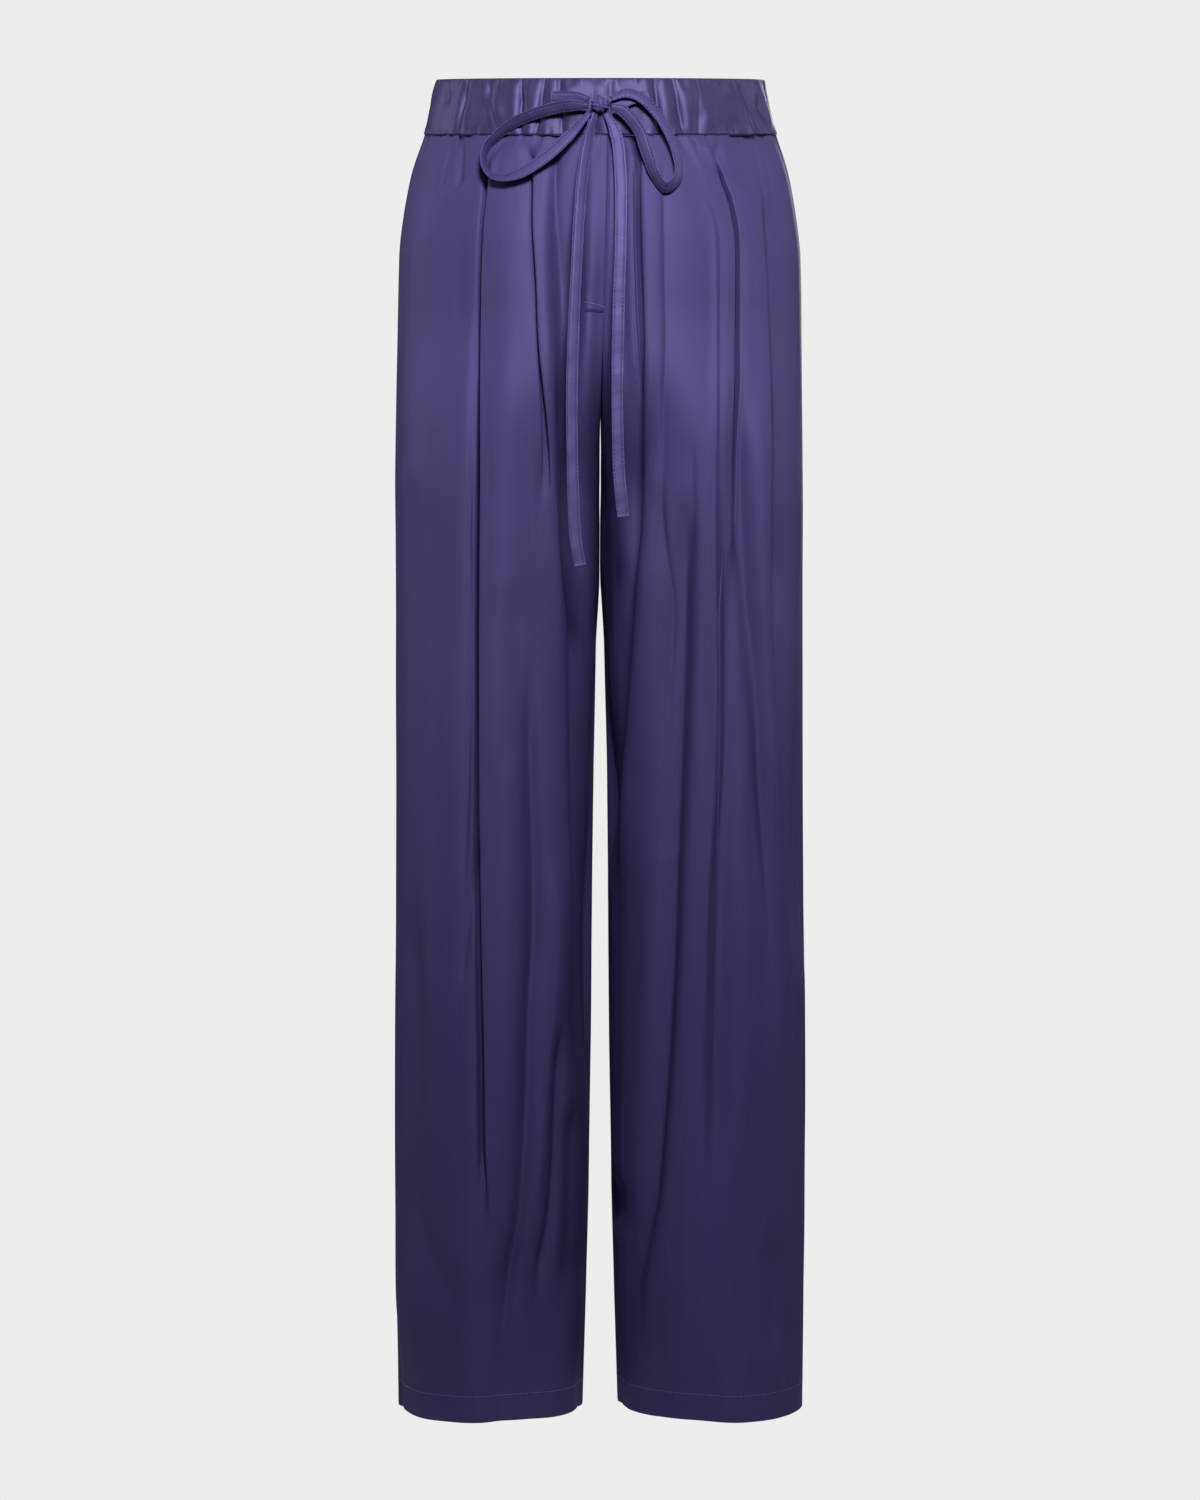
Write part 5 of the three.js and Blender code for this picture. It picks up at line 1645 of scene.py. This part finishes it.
LEFT_LOOP = (
    RoutePoint(0.0084, -0.0150, 0.0100, 30, 0.5),
    RoutePoint(0.0210, -0.0100, 0.0090, 30),
    RoutePoint(0.0360, -0.0170, 0.0090, 30),
    RoutePoint(0.0500, -0.0350, 0.0090, 35),
    RoutePoint(0.0590, -0.0580, 0.0085, 45),
    RoutePoint(0.0595, -0.0750, 0.0080, 50),
    RoutePoint(0.0500, -0.0840, 0.0080, 50),
    RoutePoint(0.0420, -0.0740, 0.0090, 40),
    RoutePoint(0.0360, -0.0570, 0.0100, 25),
    RoutePoint(0.0290, -0.0380, 0.0110, 20),
    RoutePoint(0.0170, -0.0245, 0.0120, 20),
    RoutePoint(0.0082, -0.0220, 0.0120, 20, 0.5),
)
RIGHT_STRAND = (
    RoutePoint(-0.0083, -0.0155, 0.0074, 20, 0.5),
    RoutePoint(-0.0170, -0.0135, 0.0066, 18),
    RoutePoint(-0.0280, -0.0125, 0.0059, 14),
    RoutePoint(-0.0380, -0.0120, 0.0052, 8),
)
LEFT_STRAND = (
    RoutePoint(0.0086, -0.0190, 0.0072, 20, 0.5),
    RoutePoint(0.0170, -0.0175, 0.0066, 18),
    RoutePoint(0.0280, -0.0130, 0.0059, 14),
    RoutePoint(0.0380, -0.0100, 0.0052, 8),
)


@dataclass
class Ribbon:
    """A flat tube of satin along a route on the front, stitched along both edges."""

    name: str
    route: tuple
    seed: int
    hangs: bool = False
    width: float = 0.0095
    thickness: float = 0.0014
    ring_step: float = 0.0016
    stitched_at: float = 0.0034
    groove_width: float = 0.0006
    groove_depth: float = 0.8
    edge_round: float = 0.0006
    thin_edge: float = 0.78
    waves: int = 7
    wave_height: float = 0.00013
    longest_wave: float = 0.05
    centre: np.ndarray = field(init=False)
    wide: np.ndarray = field(init=False)
    over: np.ndarray = field(init=False)
    drawn: np.ndarray = field(init=False)

    def anchors(self) -> np.ndarray:
        """Return the route's points in space."""
        points = []
        reach = FIGURE.front_depth(KNOT.x, KNOT.z) - KNOT.off + 0.001
        for place in self.route:
            cloth = FIGURE.front_depth(place.x, place.z)
            reach = min(reach, cloth - TAIL_HANG)
            points.append((place.x, reach if self.hangs else cloth - place.off, place.z))
        return np.array(points)

    @staticmethod
    def through(points: np.ndarray, steps: int) -> tuple[np.ndarray, np.ndarray]:
        """Return a smooth curve through points, and the number of the point at each of its steps."""
        first = 2 * points[0] - points[1]
        last = 2 * points[-1] - points[-2]
        padded = np.concatenate([[first], points, [last]])
        curve, number = [], []
        for i in range(len(points) - 1):
            a, b, c, d = padded[i : i + 4]
            ta, tb, tc = (math.sqrt(float(np.linalg.norm(q - p))) for p, q in ((a, b), (b, c), (c, d)))
            start = ((b - a) / ta - (c - a) / (ta + tb) + (c - b) / tb) * tb
            end = ((c - b) / tb - (d - b) / (tb + tc) + (d - c) / tc) * tb
            for t in np.linspace(0, 1, steps, endpoint=False):
                cubic = (2 * b - 2 * c + start + end) * t**3 + (3 * c - 3 * b - 2 * start - end) * t**2
                curve.append(cubic + start * t + b)
                number.append(i + t)
        curve.append(points[-1])
        number.append(len(points) - 1)
        return np.array(curve), np.array(number)

    def shape(self) -> None:
        """Work out the ribbon's middle line and the directions across and over it."""
        curve, number = self.through(self.anchors(), 40)
        runs = np.linalg.norm(np.diff(curve, axis=0), axis=1)
        lengths = np.concatenate([[0], np.cumsum(runs)])
        rings = int(lengths[-1] / self.ring_step) + 1
        even = np.linspace(0, lengths[-1], rings)
        self.centre = np.stack([np.interp(even, lengths, curve[:, k]) for k in range(3)], axis=1)
        at = np.interp(even, lengths, number)
        knots = np.arange(len(self.route))
        turn = np.radians(np.interp(at, knots, [p.turn for p in self.route]))
        self.drawn = np.interp(at, knots, [p.wide for p in self.route])
        along = np.gradient(self.centre, axis=0)
        along /= np.linalg.norm(along, axis=1, keepdims=True)
        flat = np.cross(np.tile([0.0, -1.0, 0.0], (rings, 1)), along)
        flat /= np.linalg.norm(flat, axis=1, keepdims=True)
        wide = flat * np.cos(turn)[:, None]
        wide[:, 1] += np.sin(turn)
        wide -= along * (wide * along).sum(axis=1, keepdims=True)
        self.wide = wide / np.linalg.norm(wide, axis=1, keepdims=True)
        self.over = np.cross(along, self.wide)

    def length(self) -> float:
        """Return the length of the middle line."""
        return float(np.linalg.norm(np.diff(self.centre, axis=0), axis=1).sum())

    def section(self) -> np.ndarray:
        """Return the section across the ribbon: flat, thin at its stitched edges, rounded at its ends."""
        half = self.width / 2
        rim = 0.0002 * np.arange(3)
        flat = np.linspace(-half + 0.001, half - 0.001, 13)
        across = np.concatenate([-half + rim, flat, half - rim[::-1]])
        groove = np.exp(-(((np.abs(across) - self.stitched_at) / self.groove_width) ** 2))
        past = np.clip(np.abs(across) - half + self.edge_round, 0, None) / self.edge_round
        edge = np.sqrt(np.clip(1 - past**2, 0.04, 1))
        crown = self.thin_edge + (1 - self.thin_edge) * (1 - (across / half) ** 2)
        body = self.thickness / 2 * edge * (1 - self.groove_depth * groove) * crown
        upper = np.stack([across, body], axis=1)
        lower = np.stack([across[::-1], -body[::-1]], axis=1)
        return np.concatenate([upper, lower])

    def surface(self) -> np.ndarray:
        """Return the ribbon's rings of points, with small uneven waves along them."""
        draw = np.random.default_rng(self.seed)
        rings = len(self.centre)
        along = np.arange(rings) * self.ring_step
        section = self.section()
        waves = np.zeros((rings, len(section)))
        for _ in range(self.waves):
            long = draw.uniform(0.006, self.longest_wave)
            phase, skew = draw.uniform(0, 6.3), draw.uniform(-260, 260)
            height = self.wave_height * (long / self.longest_wave) ** 0.6
            waves += height * np.sin(2 * math.pi * along[:, None] / long + phase + skew * section[:, 0])
        bow = 1 + 0.03 * np.sin(along / 0.021 + self.seed)
        across = section[:, 0] * (self.drawn * bow)[:, None]
        up = section[:, 1] * (1 + 0.5 * (1 - self.drawn))[:, None] + waves
        sideways = self.wide[:, None] * across[:, :, None]
        return self.centre[:, None] + sideways + self.over[:, None] * up[:, :, None]

    def build(self) -> bpy.types.Object:
        """Return the ribbon as a closed mesh, in place of its solid."""
        self.shape()
        grid = self.surface()
        rings, sides = grid.shape[:2]
        section = self.section()
        around = np.repeat(section[None, :, 0] + 0.02 * (section[None, :, 1] < 0), rings, axis=0)
        down = np.repeat(np.arange(rings)[:, None] * self.ring_step, sides, axis=1)
        uv = np.stack([around, down], axis=2)
        faces = capped_faces(rings, sides, True)
        return dress(self.name, "drawstring_" + self.name, grid, faces, uv, (RIBBON_SATIN,))

    def edge_lines(self) -> list[tuple[np.ndarray, np.ndarray]]:
        """Return the two lines of topstitching on the face that shows."""
        lines = []
        for side in (-1, 1):
            across = side * self.stitched_at * self.drawn
            path = self.centre + self.wide * across[:, None] + self.over * (self.thickness * 0.36)
            lines.append((path[3:-3], self.over[3:-3]))
        return lines


@dataclass
class Drawstring:
    """The bow: its two tails, two loops, two strands to the casing, and the knot."""

    stitch: Stitching = Stitching("ribbon_stitches", 0.0031, 0.0017, 0.0006, RIBBON_THREAD, 9)

    def build(self) -> list[bpy.types.Object]:
        """Return every piece of the drawstring."""
        tails = [
            Ribbon("tail_right", RIGHT_TAIL, 5, hangs=True),
            Ribbon("tail_left", LEFT_TAIL, 6, hangs=True),
        ]
        loops = [Ribbon("loop_right", RIGHT_LOOP, 7), Ribbon("loop_left", LEFT_LOOP, 8)]
        strands = [Ribbon("strand_right", RIGHT_STRAND, 9), Ribbon("strand_left", LEFT_STRAND, 10)]
        pieces = []
        for far_end, ribbons in (("bare", tails), ("object", loops)):
            for ribbon in ribbons:
                piece = ribbon.build()
                round(ribbon.length(), 3)
                pieces.append(piece)
        pieces += [ribbon.build() for ribbon in strands]
        lines = [line for ribbon in tails + loops + strands for line in ribbon.edge_lines()]
        pieces.append(self.stitch.sew(lines))
        pieces.append(self.knot())
        return pieces

    def knot(self) -> bpy.types.Object:
        """Return the knot: the ribbon drawn tight round itself, with the folds that this makes."""
        rows, cols = 40, 64
        polar = np.linspace(0.02, math.pi - 0.02, rows)[:, None]
        turn = np.linspace(0, 2 * math.pi, cols, endpoint=False)[None, :]
        x = np.sin(polar) * np.cos(turn)
        y = np.sin(polar) * np.sin(turn)
        z = np.cos(polar) + 0 * turn
        wrap = np.exp(-((x / 0.42) ** 2))
        folds = 0.10 * np.sin(9 * x + 2.2 * z + 0.6) * wrap + 0.08 * np.sin(13 * z + 3 * x) * (1 - wrap)
        swell = 0.86 + 0.14 * wrap + folds - 0.10 * np.exp(-(((np.abs(x) - 0.5) / 0.1) ** 2))
        middle = FIGURE.front_depth(KNOT.x, KNOT.z) - KNOT.off
        points = np.stack([
            KNOT.x + KNOT.radius * x * swell,
            middle + KNOT.depth * y * swell,
            KNOT.z + KNOT.height * z * swell,
        ], axis=2)
        uv = KNOT.cloth * np.stack([np.broadcast_to(turn, x.shape), np.broadcast_to(polar, x.shape)], axis=2)
        faces = capped_faces(rows, cols, False)
        return dress("bow_knot", "drawstring_knot", points, faces, uv, (RIBBON_SATIN,))


# The studio


@dataclass(frozen=True)
class Softbox:
    """A soft area light: where it stands, what it points at, its size, power and spread."""

    name: str
    place: tuple
    target: tuple
    size: tuple
    power: float
    spread: float = 180.0

    def build(self) -> bpy.types.Object:
        """Return the light."""
        data = bpy.data.lights.new(self.name, "AREA")
        data.shape = "RECTANGLE"
        data.size, data.size_y = self.size
        data.energy = self.power
        data.spread = math.radians(self.spread)
        light = bpy.data.objects.new(self.name, data)
        light.location = self.place
        light.rotation_euler = (Vector(self.target) - Vector(self.place)).to_track_quat("-Z", "Y").to_euler()
        bpy.context.scene.collection.objects.link(light)
        return light


@dataclass
class Studio:
    """The camera at the photograph's view, soft lights, a pale surround and a pale floor."""

    camera_height: float = -0.5144
    camera_distance: float = 2.5
    lens: float = 75.0
    backdrop: tuple = (0.845, 0.845, 0.847)
    ambient: float = 0.03
    floor_height: float = -1.45
    floor_reach: tuple = (1.6, 1.3)
    softboxes: tuple = (
        Softbox("key", (0.10, -1.06, 0.42), (0.0, -0.1, -0.25), (0.28, 0.28), 9.8, 140.0),
        Softbox("left_wall", (-1.15, 0.16, 0.10), (-0.1, 0.0, -0.50), (0.5, 1.1), 4.2, 150.0),
        Softbox("right_wall", (1.15, 0.16, 0.20), (0.1, 0.0, -0.30), (0.5, 0.9), 3.0, 150.0),
        Softbox("back_fill", (0.3, 1.5, 0.3), (0.0, 0.0, -0.4), (1.0, 1.0), 24.0),
    )

    def camera(self) -> bpy.types.Object:
        """Return the camera at the photograph's view, set as the scene's."""
        data = bpy.data.cameras.new("camera")
        data.lens = self.lens
        data.sensor_width = 36.0
        camera = bpy.data.objects.new("camera", data)
        camera.location = (0.0, -self.camera_distance, self.camera_height)
        camera.rotation_euler = (math.radians(90), 0.0, 0.0)
        bpy.context.scene.collection.objects.link(camera)
        bpy.context.scene.camera = camera
        return camera

    def surround(self) -> None:
        """Set the pale surround that the camera sees and the dimmer one that lights the cloth."""
        world = bpy.data.worlds.new("surround")
        bpy.context.scene.world = world
        world.use_nodes = True
        build = NodeKit(world.node_tree)
        seen = world.node_tree.nodes["Background"]
        seen.inputs["Color"].default_value = (*self.backdrop, 1)
        lit = build.node("ShaderNodeBackground")
        lit.inputs["Color"].default_value = (0.95, 0.96, 1.0, 1)
        lit.inputs["Strength"].default_value = self.ambient
        ray = build.node("ShaderNodeLightPath")
        pick = build.node("ShaderNodeMixShader")
        build.link(ray.outputs["Is Camera Ray"], pick.inputs[0])
        build.link(lit.outputs[0], pick.inputs[1])
        build.link(seen.outputs[0], pick.inputs[2])
        build.link(pick.outputs[0], world.node_tree.nodes["World Output"].inputs["Surface"])

    def floor(self) -> bpy.types.Object:
        """Return the plain pale floor."""
        wide, deep = self.floor_reach
        level = self.floor_height
        corners = np.array([
            (-wide, -wide, level),
            (wide, -wide, level),
            (wide, deep, level),
            (-wide, deep, level),
        ])
        floor = add_object("floor", mesh_of("floor", corners, [[0, 1, 2, 3]]))
        paint = bpy.data.materials.new("floor_paint")
        paint.use_nodes = True
        shader = paint.node_tree.nodes["Principled BSDF"]
        shader.inputs["Base Color"].default_value = (0.8, 0.8, 0.8, 1)
        shader.inputs["Roughness"].default_value = 0.8
        shader.inputs["Emission Color"].default_value = (0.6, 0.6, 0.6, 1)
        ray = paint.node_tree.nodes.new("ShaderNodeLightPath")
        paint.node_tree.links.new(ray.outputs["Is Camera Ray"], shader.inputs["Emission Strength"])
        floor.data.materials.append(paint)
        return floor

    def build(self) -> None:
        """Set up the whole studio."""
        self.camera()
        self.surround()
        self.floor()
        for softbox in self.softboxes:
            softbox.build()
        bpy.context.scene.view_settings.view_transform = "Standard"


def main() -> None:
    """Build the garment's pieces in order and report each of them."""
    logging.basicConfig(level=logging.INFO, format="%(name)s: %(message)s")
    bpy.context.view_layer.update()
    Studio().build()
    for assembly in (Drawstring(), Legs(), Waistband()):
        for piece in assembly.build():
            LOG.info("%s: %d faces", piece.name, len(piece.data.polygons))


if __name__ == "__main__":
    main()
